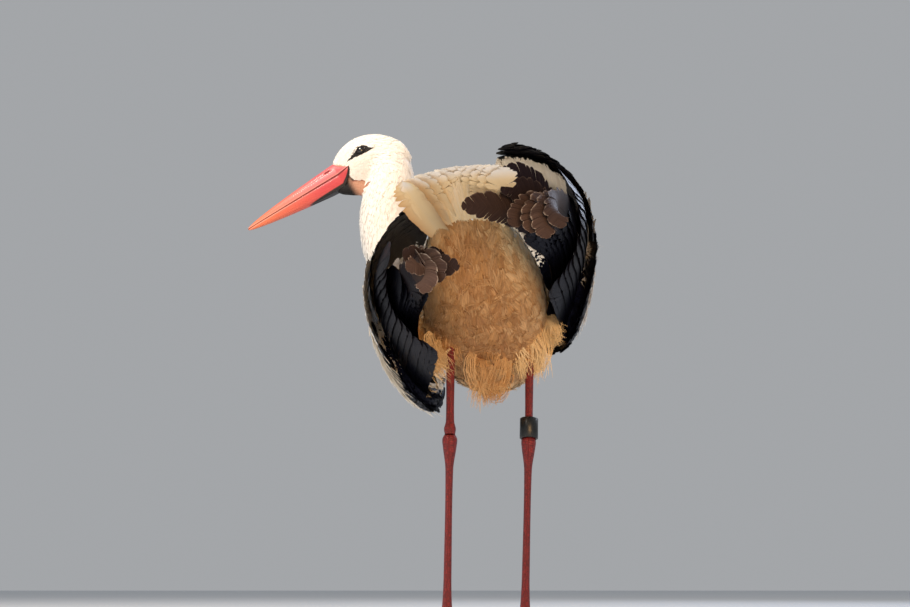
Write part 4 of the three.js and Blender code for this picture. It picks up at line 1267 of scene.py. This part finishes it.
def vane(line, width, lean, camber, cell, inner=0.6, splits=(0.8, 0.2), droop=0.0, frayed=0.1):
    """One flight feather: both vanes in groups of slanted barbs that part at their edges, and its shaft.

    line is the shaft, the way out of the surface and the way to the next feather; inner is the share of the
    width on the side that the next feather covers; splits gives where the barbs start to part and how far
    apart the partings are, and frayed how deep they are."""
    centre, out, to_next = line
    way = np.concatenate([[0], np.cumsum(np.linalg.norm(np.diff(centre, axis=0), axis=1))])
    length = way[-1]
    ahead = unit(np.gradient(centre, axis=0))
    across = unit(np.cross(ahead, out))
    up = np.cross(across, ahead)
    next_side = 1 if (across * to_next).sum() > 0 else -1
    tables = [centre, across, up]

    def at(distance, side_mm, raise_mm):
        """Points and the way up at a distance along the shaft and beside it."""
        spot, sideways, rise_way = (
            np.stack([np.interp(distance, way, table[:, k]) for k in range(3)], axis=-1) for table in tables
        )
        grown = clamp(distance / length / 0.4)
        bent = -side_mm * next_side / (width / 2) * lean * grown - side_mm**2 / camber
        bent = bent - droop * (side_mm / width * 2) ** 2 * grown + raise_mm
        slope = -next_side / (width / 2) * lean * grown - 2 * side_mm / camber
        slope = slope - droop * 8 * side_mm / width**2 * grown
        facing = unit(rise_way - sideways * slope[..., None])
        return spot + sideways * side_mm[..., None] + rise_way * bent[..., None], facing

    points, normals, quads = [], [], []
    values = {"under": [], "edge": [], "reach": [], "u": [], "v": []}
    count = 0

    def sheet(distance, side_mm, lift_mm, edge, thick):
        """One closed thin sheet from grids of distances and side offsets; the offsets rise along each row."""
        nonlocal count
        rows, cols = distance.shape
        block = rows * cols
        over, facing = at(distance, side_mm, lift_mm + thick)
        below, _ = at(distance, side_mm, lift_mm - thick)
        faces = grid_faces(rows, cols)
        index = np.arange(block).reshape(rows, cols)
        rim = np.concatenate([index[0, :], index[1:, -1], index[-1, -2::-1], index[-2:0:-1, 0]])
        after = np.roll(rim, -1)
        walls = np.stack([after, rim, rim + block, after + block], axis=1)
        points.extend([over.reshape(-1, 3), below.reshape(-1, 3)])
        normals.extend([facing.reshape(-1, 3), -facing.reshape(-1, 3)])
        quads.append(np.concatenate([faces, faces[:, ::-1] + block, walls]) + count)
        values["under"].extend([np.zeros(block), np.ones(block)])
        values["edge"].extend([edge.ravel()] * 2)
        values["reach"].extend([clamp(distance / length).ravel()] * 2)
        values["u"].extend([side_mm.ravel()] * 2)
        values["v"].extend([(distance - np.abs(side_mm) * SLANT).ravel()] * 2)
        count += 2 * block

    for side in (-1, 1):
        full = width * (inner if side == next_side else 1 - inner)
        last = length - 0.3
        cuts = [0.0, last * splits[0] * rng.uniform(0.8, 1.2)]
        while cuts[-1] < last:
            cuts.append(cuts[-1] + last * splits[1] * rng.uniform(0.4, 1.6))
        cuts = np.minimum(cuts, last)
        for a, b in zip(cuts, cuts[1:]):
            if b - a < 2:
                continue
            from_shaft = np.linspace(a, b, max(4, int((b - a) / 5)))[:, None]
            half = full * outline(from_shaft / length)
            for _ in range(8):
                half = 0.5 * half + 0.5 * full * outline(clamp((from_shaft + SLANT * half) / length))
            part = hump(np.minimum(from_shaft - a, b - from_shaft), 0, PARTING)
            part = part * rng.uniform(0.3, 1.0) * frayed
            half = np.maximum(half * (1 - part) * (1 + 0.02 * rng.normal(size=half.shape)), 0.4)
            reach = np.linspace(0, 1, 7)[None]
            gather = (from_shaft - (a + b) / 2) / (b - a) * rng.uniform(0.0, 1.6)
            distance = from_shaft + SLANT * half * reach - gather * reach**2
            ragged = rng.normal() * 1.6 * frayed * reach**2
            grids = (distance, side * half * reach, ragged + 0 * distance, reach + 0 * distance)
            sheet(*(grid[:, ::side] for grid in grids), 0.2)
    shaft_way = np.linspace(0, length * SHAFT_SHARE, 20)[:, None]
    thick = np.linspace(1.1, 0.3, 20)[:, None] * np.array([-1, -0.5, 0.5, 1])[None]
    sheet(shaft_way + 0 * thick, thick, 0.1 + 0 * thick, np.full(thick.shape, -1.0), 0.5)
    merged = {key: np.concatenate(v) for key, v in values.items()}
    uv = np.stack([0.5 + merged["u"] / 70, merged["v"] / length * 0.9 + 0.06], axis=1)
    merged["bake"] = (np.clip(uv, 0.02, 0.98) + (cell % CELLS, cell // CELLS)) / CELLS
    merged["normals"] = np.vstack(normals)
    return np.vstack(points), np.concatenate(quads), merged


def gathered(feathers):
    """Several feathers' points, quads and values as one, each with its own tone."""
    points, quads, values, begin = [], [], {}, 0
    for p, q, v in feathers:
        points.append(p)
        quads.append(q + begin)
        begin += len(p)
        v["tone"] = np.full(len(p), rng.random())
        for key, value in v.items():
            values.setdefault(key, []).append(value)
    values = {key: np.concatenate(v) for key, v in values.items()}
    uvs = {"OFBake": values.pop("bake"), "Vane": np.stack([values.pop("u"), values.pop("v")], axis=1)}
    return np.vstack(points), [np.concatenate(quads)], uvs, values


def flight_tier(name, tier_name, count, width, lean, camber, worn, end=1.0, **shape):
    """Feathers of a tier, each lying over the one before it."""
    place = tier_place(name, tier_name)
    feathers = []
    for i in range(count):
        t = clamp(i / (count - 1) + 0.012 * rng.normal())
        line = tier_line(place, t, 0.01, end - rng.uniform(0.0, 0.03))
        p, q, v = vane(line, width * rng.uniform(0.94, 1.06), lean, camber, i, **shape)
        v["worn"] = clamp((v["reach"] - 0.62) / 0.25) * worn * rng.uniform(0.6, 1.0)
        feathers.append((p, q, v))
    return feathers


def bezier(a, b, c, d, n):
    s = np.linspace(0, 1, n)[:, None]
    return (1 - s) ** 3 * a + 3 * (1 - s) ** 2 * s * b + 3 * (1 - s) * s * s * c + s**3 * d


def turned_tips(name):
    """The primaries whose tips spread and turn in over the tail, each with its own tip."""
    place = tier_place(name, "primaries")
    side = WINGS[name]["side"]
    facing = unit((side * 0.3, -0.86, -0.28))
    frayed = dict(inner=0.55, splits=(0.55, 0.035), frayed=0.2)
    feathers = []
    for i, (t, tip, heading, width, worn) in enumerate(TIPS[name]):
        centre, out, to_next = tier_line(place, t, 0.02, 0.6, 40)
        tip, heading = np.array(tip, float), unit(heading)
        ahead = unit(centre[-1] - centre[-2])
        far = np.linalg.norm(tip - centre[-1])
        bend = bezier(centre[-1], centre[-1] + ahead * far * 0.45, tip - heading * far * 0.36, tip, 40)[1:]
        share = eased(np.linspace(0, 1, 40)[1:, None])
        outs = np.vstack([unit(out), unit(mix(unit(out[-1]), facing, share))])
        nexts = np.vstack([to_next, np.repeat(to_next[-1:], 39, axis=0)])
        line = (np.vstack([centre, bend]), outs, nexts)
        p, q, v = vane(line, width * rng.uniform(0.92, 1.1), 0.6, 230, BLADES + i, **frayed)
        v["worn"] = clamp((v["reach"] - 0.68) / 0.16) * worn
        feathers.append((p, q, v))
    return feathers


# The spread primaries of each wing: share of the hand where each roots, its tip, the way the tip points, its
# width and how worn and brown it is
TIPS = {
    "right": [
        (0.0, (-24, -262, 486), (-0.97, -0.22, -0.11), 38, 0.5),
        (0.08, (24, -256, 509), (-0.96, -0.21, -0.21), 40, 0.25),
        (0.16, (23, -250, 534), (-0.97, -0.26, 0.03), 40, 0.15),
        (0.3, (34, -268, 459), (-0.58, -0.04, -0.81), 43, 0.8),
        (0.45, (57, -273, 448), (-0.19, 0.01, -0.98), 43, 1.0),
        (0.6, (75, -278, 439), (0.05, 0.01, -1.0), 43, 0.9),
        (0.75, (96, -276, 453), (0.34, 0.0, -0.94), 40, 0.6),
    ],
    "left": [
        (0.0, (-25, -262, 411), (0.97, -0.24, -0.04), 38, 0.4),
        (0.1, (-44, -256, 430), (0.82, -0.38, 0.43), 40, 0.15),
        (0.25, (-47, -268, 389), (0.43, -0.01, -0.9), 40, 0.7),
        (0.4, (-67, -274, 373), (-0.14, 0.01, -0.99), 43, 1.0),
        (0.6, (-89, -272, 403), (-0.84, -0.11, -0.54), 40, 0.9),
        (0.75, (-94, -262, 428), (-0.96, -0.28, 0.04), 38, 0.5),
    ],
}


def flight_piece(name, tier_name, feathers):
    points, quads, uvs, values = gathered(feathers)
    made = piece(f"coat_{tier_name}_{name}", points, quads, black, "black_plumage", uvs=uvs, **values)
    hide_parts(f"{tier_name}_{name}")


for wing_name in WINGS:
    blade = flight_tier(wing_name, "primaries", BLADES, 42, 0.9, 400, 0.0, end=0.84)
    flight_piece(wing_name, "primaries", blade + turned_tips(wing_name))
    secondaries = flight_tier(wing_name, "secondaries", 14, 40, 2.4, 190, 0.05)
    flight_piece(wing_name, "secondaries", secondaries)
    tertials = flight_tier(wing_name, "tertials", 11, 44, 2.4, 190, 0.0, splits=(0.5, 0.08), frayed=0.3)
    flight_piece(wing_name, "tertials", tertials)

# ---- Tail ------------------------------------------------------------------------------------------------


def tail():
    """Twelve white tail feathers, the outer ones lowest and the left ones' edges curling down."""
    feathers = []
    count = 12
    for i in range(count):
        t = (i + 0.5) / count
        middle = 2 * t - 1
        level = -1.6 * abs(middle) * count / 2
        s = np.linspace(0.1, 1 - rng.uniform(0, 0.02), 50)
        centre = tail_point(s, middle, level)
        out, to_next = tail_point(s, middle, level + 1) - centre, tail_point(s, middle + 0.04, level) - centre
        lean = 0.9 if t < 0.5 else -0.9
        curl = 9.0 * clamp((0.3 - t) / 0.25)
        split = dict(inner=0.5, splits=(0.6, 0.07), droop=curl, frayed=0.25)
        p, q, v = vane((centre, out, to_next), 38, lean, 500, i, **split)
        # Painted light: the undersides are golden as if lit through, white at the tips; painted shade on the
        # left feathers' curled edges
        curl_shade = clamp((0.12 - t) / 0.06) * clamp(v["edge"]) ** 2
        v["stain"] = (0.04 + 0.34 * v["under"]) * np.clip((0.97 - v["reach"]) / 0.12, 0.1, 1) + 0.5 * curl_shade
        v["soft"] = np.ones(len(p))
        v["tint"] = np.full(len(p), rng.random())
        feathers.append((p, q, v))
    points, quads, uvs, values = gathered(feathers)
    made = piece("coat_tail", points, quads, white, "white_plumage", uvs=uvs, **values)
    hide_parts("tail")


def tail_coverts():
    """Long soft feathers under the tail and shorter ones over its root."""
    n = 400
    out = rng.uniform(-1, 1, n)
    start = rng.uniform(0.02, 0.5, n)
    long = rng.uniform(0.26, 0.4, n)
    s = np.linspace(0, 1, 5)[None]
    for label, sign, depth in (("coat_undertail", -1, 16), ("coat_uppertail", 1, 9)):
        if sign > 0:
            n = 260
            out, start, long = out[:n], start[:n], long[:n]
        far = start[:, None] + long[:, None] * s * (1 if sign < 0 else 0.7)
        sink = sign * (depth * (1 - far) * (1 - 0.35 * out[:, None] ** 2) + 2.2)
        paths = tail_point(far, out[:, None] * 0.92 + 0 * far, sink)
        across = out[:, None] + 0 * far
        ups = unit(tail_point(far, across, sink + sign) - tail_point(far, across, sink))
        half = rng.uniform(4.5, 7.5, (n, 1)) * np.array(TAPERS[5])
        uv = np.stack([0.5 + 0.45 * out, 0.05 + 0.9 * start], axis=1)
        # Painted warm light: the white undertail coverts are golden cream; the uppertail coverts stay white
        tufts(
            label,
            paths,
            ups,
            half,
            uv,
            barbs=4,
            tone=rng.random(n),
            stain=(0.34 + 0.3 * clamp(0.4 - start)) * rng.uniform(0.85, 1.15, n) * (sign < 0),
            soft=np.full(n, 1.0),
            thick=0.15,
        )


tail()
tail_coverts()

# ---- Loose feathers: ruff and belly ----------------------------------------------------------------------

RUFF_TAPER = (0.6, 1.0, 0.9, 0.6, 0.25)
DOWN_TAPER = (0.5, 1.0, 0.95, 0.7, 0.3)
PLUME_TAPER = (0.55, 0.95, 1.0, 0.8, 0.4)


def ruff():
    """Long pointed feathers that hang over the foreneck and breast."""
    n = 240
    facing = np.array((-0.6, 0.8, -0.3))
    share = rng.uniform(0.24, 0.56, n)
    around = np.radians(rng.uniform(-72, 72, n))
    index = (share * (len(neck_line) - 1)).astype(int)
    aim = neck_aim[index]
    front = unit(facing - aim * (aim @ facing)[:, None])
    side = np.cross(aim, front)
    outward = front * np.cos(around)[:, None] + side * np.sin(around)[:, None]
    roots, normals = on_skin(neck_line[index] + outward * (neck_radius[index] - BODY_COAT)[:, None])
    flow = unit(-aim + 0.12 * rng.normal(size=aim.shape))
    length = rng.uniform(58, 88, n)
    paths, ups = laid(roots, normals, flow, length, rng.uniform(5, 11, n), 5)
    half = rng.uniform(3.4, 5.2, (n, 1)) * np.array(RUFF_TAPER)
    where = skin_unwrap(roots, np.full(n, 1))
    tufts("coat_ruff", paths, ups, half, where, barbs=2, tone=rng.random(n), stain=np.zeros(n))


def loose_belly():
    """Long soft feathers and curling down that stand a little off the belly and vent."""
    roots, normals = scatter(skin_points, skin_quads, lambda p: np.full(len(p), 17.0))
    how = lie(roots)
    p = local(trunk_frame, roots)
    keep = (how["belly"] > BELLY_FROM) & (p[:, 1] < 150) & (p[:, 1] > -170) & (black_wing_and_shade(roots) < 0.5)
    keep &= rng.random(len(roots)) < 0.45 + 1.2 * clamp(how["belly"] - 0.4)
    roots, normals, flow = roots[keep], normals[keep], how["flow"][keep]
    curly = clamp((how["belly"][keep] - 0.45) / 0.4)
    n = len(roots)
    aim = unit(flow + (0.12 + 0.5 * curly)[:, None] * rng.normal(size=roots.shape))
    length, lift = rng.uniform(48, 74, n) * (1 - 0.3 * curly), rng.uniform(1.6, 2.6, n) + 3 * curly
    swirl = rng.normal(size=n) * (0.35 + 1.3 * curly)
    paths, ups = laid(roots, normals, aim, length, lift, 5, curl=0.3, swirl=swirl)
    half = rng.uniform(5.0, 8.0, (n, 1)) * (1 - 0.6 * curly)[:, None] * np.array(DOWN_TAPER)
    tufts(
        "coat_loose_belly",
        paths,
        ups,
        half,
        skin_unwrap(roots, np.zeros(n, int)),
        barbs=6,
        thick=0.12,
        loose=2.2,
        tone=rng.uniform(0.3, 0.9, n),
        stain=stain_at(roots) * rng.uniform(0.84, 1.02, n),
        soft=np.full(n, 1.0),
    )


def plumes(label, start, end, n, spread, half, stain, bow=(0.0, 0.0, 0.0)):
    """A loose tuft of soft feathers hanging from about one place to another, bowed on the way."""
    start = np.array(start, float) + rng.normal(size=(n, 3)) * spread[0]
    end = np.array(end, float) + rng.normal(size=(n, 3)) * spread[1]
    s = np.linspace(0, 1, 5)[None, :, None]
    bend = np.array(bow, float) + rng.normal(size=(n, 3)) * spread[1] * 0.9
    paths = start[:, None] + (end - start)[:, None] * s + bend[:, None] * 4 * s * (1 - s)
    paths = paths + rng.normal(size=(n, 1, 3)) * spread[1] * 0.8 * s**3
    aim = unit(np.gradient(paths, axis=1))
    facing = unit(np.array((0.0, -1.0, -0.15)) + 0.25 * rng.normal(size=(n, 3)))[:, None]
    ups = unit(facing - aim * (aim * facing).sum(-1, keepdims=True))
    widths = half * rng.uniform(0.7, 1.2, (n, 1)) * np.array(PLUME_TAPER)
    where = skin_unwrap(start, np.zeros(n, int))
    shades = dict(tone=rng.random(n), stain=stain * rng.uniform(0.8, 1.15, n), soft=np.full(n, 1.0))
    tufts(label, paths, ups, widths, where, barbs=13, thick=0.12, loose=7.0, **shades)


ruff()
loose_belly()
plumes("coat_tuft_shoulder", (146, -8, 524), (158, -46, 504), 12, (4, 4), 5.5, 0.05)
plumes("coat_tuft_wing_right", (103, 38, 428), (110, 20, 386), 30, (7, 6), 7, 0.45)
plumes("coat_tuft_wing_left", (-62, 2, 374), (-55, -12, 336), 26, (8, 8), 7, 0.6)
plumes("coat_tuft_vent", (17, 38, 362), (17, 26, 308), 58, (17, 8), 8, 0.95, bow=(0, -7, 0))
plumes("coat_tuft_thigh_right", (74, 48, 414), (76, 35, 340), 54, (14, 7), 8, 0.5, bow=(2, -6, 0))
plumes("coat_tuft_thigh_left", (-38, 24, 404), (-37, 9, 356), 34, (12, 7), 7.5, 0.9, bow=(0, -7, 0))

# ---- Bill ------------------------------------------------------------------------------------------------


def bill_half(upper):
    """One half of the bill: a ridge, flat cheeks and a sharp cutting edge, and nostrils in the upper half;
    painted shade in seam and nostrils.
    """
    rows, cols = 170, 65
    height, thinning, roundness, opening = BILL_HALVES[upper]
    y = np.linspace(BILL_BACK, BILL_BASE + BILL_LENGTH, rows)[:, None]
    taper = 1 - clamp((y - BILL_BASE) / BILL_LENGTH)
    opened = clamp((y - BILL_BACK) / (BILL_BASE - BILL_BACK)) ** opening
    w = mix(1.0, BILL_HALF_WIDTH, taper**0.75) + BILL_FLARE * np.maximum(0, BILL_BASE - y)
    h = mix(1.1, height, np.minimum(taper**thinning, opened))
    a = np.radians(np.linspace(-90, 90, cols))[None]
    x = w * signed_power(np.sin(a), roundness)
    rise = h * np.maximum(0, np.cos(a)) ** roundness
    z = MOUTH_Z + upper * (0.15 + rise)
    x = x * (1 - 0.05 * hump(rise, 0, 0.7))
    # Painted shade along the mouth's seam, and a painted highlight just off it
    dark = 0.75 * hump(rise, 0, 0.55) + 0 * y
    pale = 0.55 * hump(rise, 1.7, 0.8) + 0 * y
    if upper > 0:
        slit = np.exp(-(((y - BILL_BASE - 14) / 5.6) ** 4) - ((rise - 14.2) / 1.1) ** 2)
        x = x * (1 - 0.25 * slit)
        groove = np.exp(-(((y - BILL_BASE - 34) / 30) ** 4) - ((rise - 0.58 * h) / 1.5) ** 2)
        x = x * (1 - 0.03 * groove)
        # Painted shade in the nostril slit
        dark = np.maximum(dark, 0.95 * clamp(slit * 1.5 - 0.3))
    else:
        # Between the jaw's branches the flat underside is painted black to a point, partly black skin, partly
        # painted shade
        taken = clamp((BILL_BASE + 66 - y) / 70) ** 0.8
        inside = 0.84 * taken - np.abs(x) / w
        low = clamp((rise / h - 0.55) / 0.15)
        # Painted shade over the underside near the base, narrowing towards the tip
        underside_shade = clamp((rise - h + 8.5 * taken) / 1.2) * (taken > 0)
        dark = np.maximum(dark, np.maximum(clamp(inside * 14) * low, underside_shade))
        z = z + 0.9 * clamp(inside * 5) * low
    ring = np.stack(np.broadcast_arrays(x, y, z), axis=-1)
    points, faces = round_body(moved(head_frame, ring))
    reach = clamp((y - BILL_BASE) / BILL_LENGTH) + 0 * x
    grain = np.stack([y * 0.05 + 0 * x, a * 9 + 0 * y], axis=-1).reshape(-1, 2)
    name = "bill_upper" if upper > 0 else "bill_lower"
    marks = {
        key: np.concatenate([v.ravel(), v[0].mean(keepdims=True), v[-1].mean(keepdims=True)])
        for key, v in dict(reach=reach, dark=dark, pale=pale).items()
    }
    # One red horn: the upper half's paler pinks are painted light from above, the lower half's darker reds
    # painted shade
    horn = bill_horn("#e07d82", "#cc444e") if upper > 0 else bill_horn("#d6565a", "#bd363d")
    made = piece(f"{name}_horn", points, faces, horn, "bill", uvs={"Grain": with_ends(grain)}, **marks)
    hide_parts(name)


bill_half(1)
bill_half(-1)

# ---- Eyes and lids ---------------------------------------------------------------------------------------

OPENING = (6.4, 4.9)  # half length and height of the open eye
EYE_SET = 0.45  # how deep the eyeball's middle lies behind EYE["x"], in its radii


def eye(side, name):
    """An eyeball with a bulging cornea, its iris facing out."""
    rows, cols = 40, 48
    centre = np.array((side * (EYE["x"] - EYE["r"] * EYE_SET), EYE["y"], EYE["z"]))
    out = np.linspace(0, np.pi, rows)[:, None]
    round_ = circle(cols)[None]
    r = EYE["r"] * (1 + 0.035 * hump(out, 0, 0.55))
    x = side * r * np.cos(out) + 0 * round_
    ring = np.stack([x, r * np.sin(out) * np.cos(round_), r * np.sin(out) * np.sin(round_)], axis=-1)
    points, faces = round_body(moved(head_frame, ring + centre))
    reach = np.concatenate([(out / (0.42 * np.pi) + 0 * round_).ravel(), [0, 3]])
    made = piece(f"{name}_ball", points, faces, wet_eye(), "eye", reach=clamp(reach))
    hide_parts(name)


def almond(angle, half):
    """An almond outline, pointed forward and back."""
    y = half[0] * np.cos(angle) * (1 + 0.12 * np.cos(angle) ** 8)
    z = half[1] * np.sin(angle) * (1 - 0.22 * np.cos(angle) ** 2)
    return y, z


def patch_rim(angle):
    """The bare patch's outline as distances from the eye's middle at each angle."""
    rows = np.array(EYE_PATCH, float)
    y = np.linspace(rows[0, 0], rows[-1, 0], 60)
    low, high = columns(rows, y)
    rim = np.vstack([np.stack([y, high], axis=1), np.stack([y, low], axis=1)[::-1]]) - (EYE["y"], EYE["z"])
    at = np.arctan2(rim[:, 1], rim[:, 0])
    order = np.argsort(at)
    return np.interp(angle, at[order], np.hypot(*rim[order].T), period=2 * np.pi)


def face_level(side, y, z):
    """How far out the skin of the face lies at (y, z) in the head's frame."""
    out = np.empty(y.size)
    inward = Vector(head_frame[:3, :3] @ (-side, 0, 0))
    for i, (a, b) in enumerate(zip(y.ravel(), z.ravel())):
        spot = moved(head_frame, (side * 60, a, b))
        hit = skin_tree.ray_cast(Vector(spot), inward)[0]
        out[i] = 0 if hit is None else side * local(head_frame, np.array(hit))[0]
    return out.reshape(y.shape)


def lids(side):
    """Both lids and the bare black skin round the eye, from the lid's rim out to the feathers."""
    cols, rows = 96, 12
    angle = circle(cols)[None]
    share = np.linspace(0, 1, rows)[:, None]
    inner = almond(angle, OPENING)
    far = np.maximum(patch_rim(angle) + 0.4, np.hypot(*inner) + 1.6)
    y = mix(inner[0], far * np.cos(angle), share**1.3)
    z = mix(inner[1], far * np.sin(angle), share**1.3)
    off = np.hypot(y, z)
    ball_x = EYE["x"] - EYE["r"] * EYE_SET + np.sqrt(np.maximum((EYE["r"] + 0.25) ** 2 - off**2, 4.0))
    face_x = face_level(side, EYE["y"] + y, EYE["z"] + z) + 0.5
    to_face = eased(clamp((off - 6) / 5))
    x = np.maximum(mix(ball_x, face_x, to_face), face_x * (off > 5.5)) + 0.8 * hump(share, 0.14, 0.12)
    x = x + 0.25 * np.sin(share * 18) * clamp(share * (1 - share) * 4)
    outer_face = np.stack([side * x, EYE["y"] + y, EYE["z"] + z], axis=-1)
    inner_face = np.stack([side * (x - 1.4), EYE["y"] + y, EYE["z"] + z], axis=-1)
    ring = np.concatenate([outer_face, inner_face[::-1]], axis=0)
    faces = grid_faces(len(ring), cols, wrap=True, closed=True)
    name = f"eyelids_{'right' if side > 0 else 'left'}"
    piece(name, moved(head_frame, ring.reshape(-1, 3)), [faces], black_bare_skin(), "eye")


for eye_side, eye_name in ((1, "eye_right"), (-1, "eye_left")):
    eye(eye_side, eye_name)
    lids(eye_side)

# ---- Legs and feet ---------------------------------------------------------------------------------------

scutes = leg_scutes()
claws = claw_horn()


def scute_wrap(lengthwise, around, cols):
    """The scutes' unwrap on a leg's skin: its rows along, and so many scutes around."""
    grid = np.meshgrid(lengthwise, np.linspace(0, around, cols), indexing="ij")
    return np.stack(grid, axis=-1).reshape(-1, 2)


def leg_tube(name, rows, start, end, deep, node_name):
    """A bare leg bone's skin between two joints, rows of (share, radius)."""
    s = np.linspace(0, 1, 90)
    start, end = np.array(start, float), np.array(end, float)
    path = start + (end - start) * s[:, None]
    radius = along(rows, s)[:, 0]
    points, faces = tube(path, radius, 32, flat=deep)
    length = np.linalg.norm(end - start)
    wrap = scute_wrap(s * length / 3.2, 11, 32)
    made = piece(name, points, faces, scutes, "leg_skin", uvs={"Grain": with_ends(wrap)})
    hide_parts(node_name)


def toe(start, aim, length, radius):
    """One toe: pads swell between its joints over a flat sole."""
    rows, cols = 48, 20
    side = np.array((aim[1], -aim[0], 0))
    t = np.linspace(-0.06, 1, rows)[:, None]
    pads = 1 + 0.07 * np.cos(t * 3.2 * 2 * np.pi)
    r = radius * mix(1.0, 0.62, clamp(t)) * pads
    high = mix(9.0, 5.4, clamp(t)) * pads
    a = circle(cols)[None]
    z = np.maximum(0.0, high / 2 + np.cos(a) * (high / 2 + 0.8))
    x = np.sin(a) * r
    ring = start + aim * (length * t)[..., None] + side * x[..., None]
    ring = np.concatenate([ring[..., :2], z[..., None] + 0 * ring[..., 2:]], axis=-1)
    points, faces = round_body(ring)
    wrap = scute_wrap(t[:, 0] * length / 3.0, 8, cols)
    return points, faces, with_ends(wrap)


def foot(side, name, leg):
    start = np.array(leg["foot"], float) * (1, 1, 0)
    parts, wraps = [], []
    for toe_name, length, radius, degrees in TOES:
        turn_out = math.radians(side * degrees)
        aim = np.array((math.sin(turn_out), math.cos(turn_out), 0))
        points, faces, wrap = toe(start, aim, length, radius)
        parts.append((points, faces))
        wraps.append(wrap)
        claw_path = start + aim * (length + 0.3 + np.linspace(-0.5, CLAW, 14)[:, None])
        claw_path[:, 2] = mix(3.4, 1.3, np.linspace(0, 1, 14) ** 2)
        claw_r = radius * 0.56 * (1 - 0.8 * np.linspace(0, 1, 14) ** 1.3)
        claw_r = np.minimum(claw_r, claw_path[:, 2] - 0.3)
        points, faces = tube(claw_path, claw_r, 14)
        made = piece(f"claw_horn_{name}_{toe_name}", points, faces, claws, "claw")
        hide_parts(f"claw_{name}_{toe_name}")
    palm_path = start + np.array((0, 0, 1)) * np.linspace(0.2, 12.7, 10)[:, None]
    parts.append(tube(palm_path, along([(0, 8), (0.6, 8.4), (1, 7.4)], np.linspace(0, 1, 10))[:, 0], 24))
    points, faces = joined(parts)
    wraps.append(np.zeros((len(points) - sum(len(w) for w in wraps), 2)))
    made = piece(f"foot_skin_{name}", points, faces, scutes, "leg_skin", uvs={"Grain": np.vstack(wraps)})
    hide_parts(f"foot_{name}")


for leg_name, leg in LEGS.items():
    shin_rows = [(0, 7), (0.06, HEEL_R * 0.8), (0.14, SHIN_R), (0.6, SHIN_R), (1, SHIN_R * 1.08)]
    tarsus_rows = [(0, 7.4), (0.07, 6.2), (0.2, TARSUS_R), (0.8, TARSUS_R)]
    tarsus_rows += [(0.93, HEEL_R * 0.92), (0.975, HEEL_R), (1, 7.2)]
    heel_up = np.array(leg["heel"]) + (0, 0, 5)
    shin_end = np.array(leg["top"]) + (0, 0, 14)
    leg_tube(f"shin_skin_{leg_name}", shin_rows, heel_up, shin_end, 1.0, f"shin_{leg_name}")
    foot_up = np.array(leg["foot"]) + (0, 0, 3)
    leg_tube(f"tarsus_skin_{leg_name}", tarsus_rows, foot_up, heel_up, 1.12, f"tarsus_{leg_name}")
    foot(WINGS[leg_name]["side"], leg_name, leg)


def leg_ring():
    """The black band over the heel: a split tube with rounded rims and a lapped seam."""
    half = RING["height"] / 2
    inner, outer, bevel = RING["inner"], RING["outer"], 0.7
    below = [(inner, -half + bevel), (inner + bevel, -half), (outer - bevel, -half), (outer, -half + bevel)]
    profile = below + [(r, -y) for r, y in reversed(below)]
    a = circle(96)
    across = unit(np.cross(shin_aim, (0, 1, 0)))
    over = np.cross(across, shin_aim)
    seam_at = 4.1
    seam = hump(a, seam_at, 0.035) * 0.35
    points = []
    for r, y in profile:
        reach = (r - seam * (r > inner + bevel))[:, None]
        out = reach * (np.cos(a)[:, None] * across + np.sin(a)[:, None] * over)
        points.append(ring_middle + out + shin_aim * y)
    faces = grid_faces(len(profile), len(a), wrap=True, closed=True)
    made = piece("ring_band", np.vstack(points), [faces], ring_plastic(), "ring")
    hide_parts("leg_ring")


leg_ring()

# ---- Floor, light and camera -----------------------------------------------------------------------------

FLOOR_REACH = 40.0
SENSOR = 36
CAMERA = dict(at=(-31, -1500, 40), pitch=14.7, lens_pixels=1090, frame_width=910)


def floor():
    """A wide pale matt floor."""
    mesh = bpy.data.meshes.new("floor")
    corners = [(x * FLOOR_REACH, y * FLOOR_REACH, 0) for x, y in ((-1, -1), (1, -1), (1, 1), (-1, 1))]
    mesh.from_pydata(corners, [], [(0, 1, 2, 3)])
    mesh.materials.append(shaded(material("pale_matt_floor")[0], "#d7dade", 0.9))
    base = bpy.data.objects.new("floor", mesh)
    bpy.context.scene.collection.objects.link(base)


def softbox(name, at, size, power, colour, aim=(0.0, 0.0, 0.45), spread=180):
    """A square soft light aimed at the bird."""
    lamp = bpy.data.lights.new(name, "AREA")
    lamp.size, lamp.energy, lamp.color = size, power, ink(colour)[:3]
    lamp.spread = math.radians(spread)
    made = bpy.data.objects.new(name, lamp)
    made.location = at
    made.rotation_euler = (Vector(aim) - Vector(at)).to_track_quat("-Z", "Y").to_euler()
    bpy.context.scene.collection.objects.link(made)


def studio():
    world = bpy.data.worlds.new("pale_studio")
    world.use_nodes = True
    world.node_tree.nodes.clear()
    sky = node(world.node_tree, "ShaderNodeBackground", {"Color": "#e3e6ea", "Strength": 0.48})
    node(world.node_tree, "ShaderNodeOutputWorld", {"Surface": sky.outputs[0]})
    bpy.context.scene.world = world
    bpy.context.scene.view_settings.view_transform = "Standard"
    softbox("key_above", (-1.2, -1.3, 2.5), 0.9, 72, "#fff3e2")
    softbox("warm_low_fill", (0.4, -1.9, 0.56), 1.0, 6, "#ffc98a", (0.0, 0.0, 0.4), 90)
    softbox("cool_rim", (1.6, 1.5, 1.9), 1.0, 20, "#dfeaff")


def camera():
    lens = bpy.data.cameras.new("camera")
    lens.sensor_width = SENSOR
    lens.lens = CAMERA["lens_pixels"] / CAMERA["frame_width"] * SENSOR
    made = bpy.data.objects.new("camera", lens)
    made.location = (np.array(CAMERA["at"]) + SHIFT) * MM
    made.rotation_euler = (math.radians(90 + CAMERA["pitch"]), 0, 0)
    bpy.context.scene.collection.objects.link(made)
    bpy.context.scene.camera = made


floor()
studio()
camera()
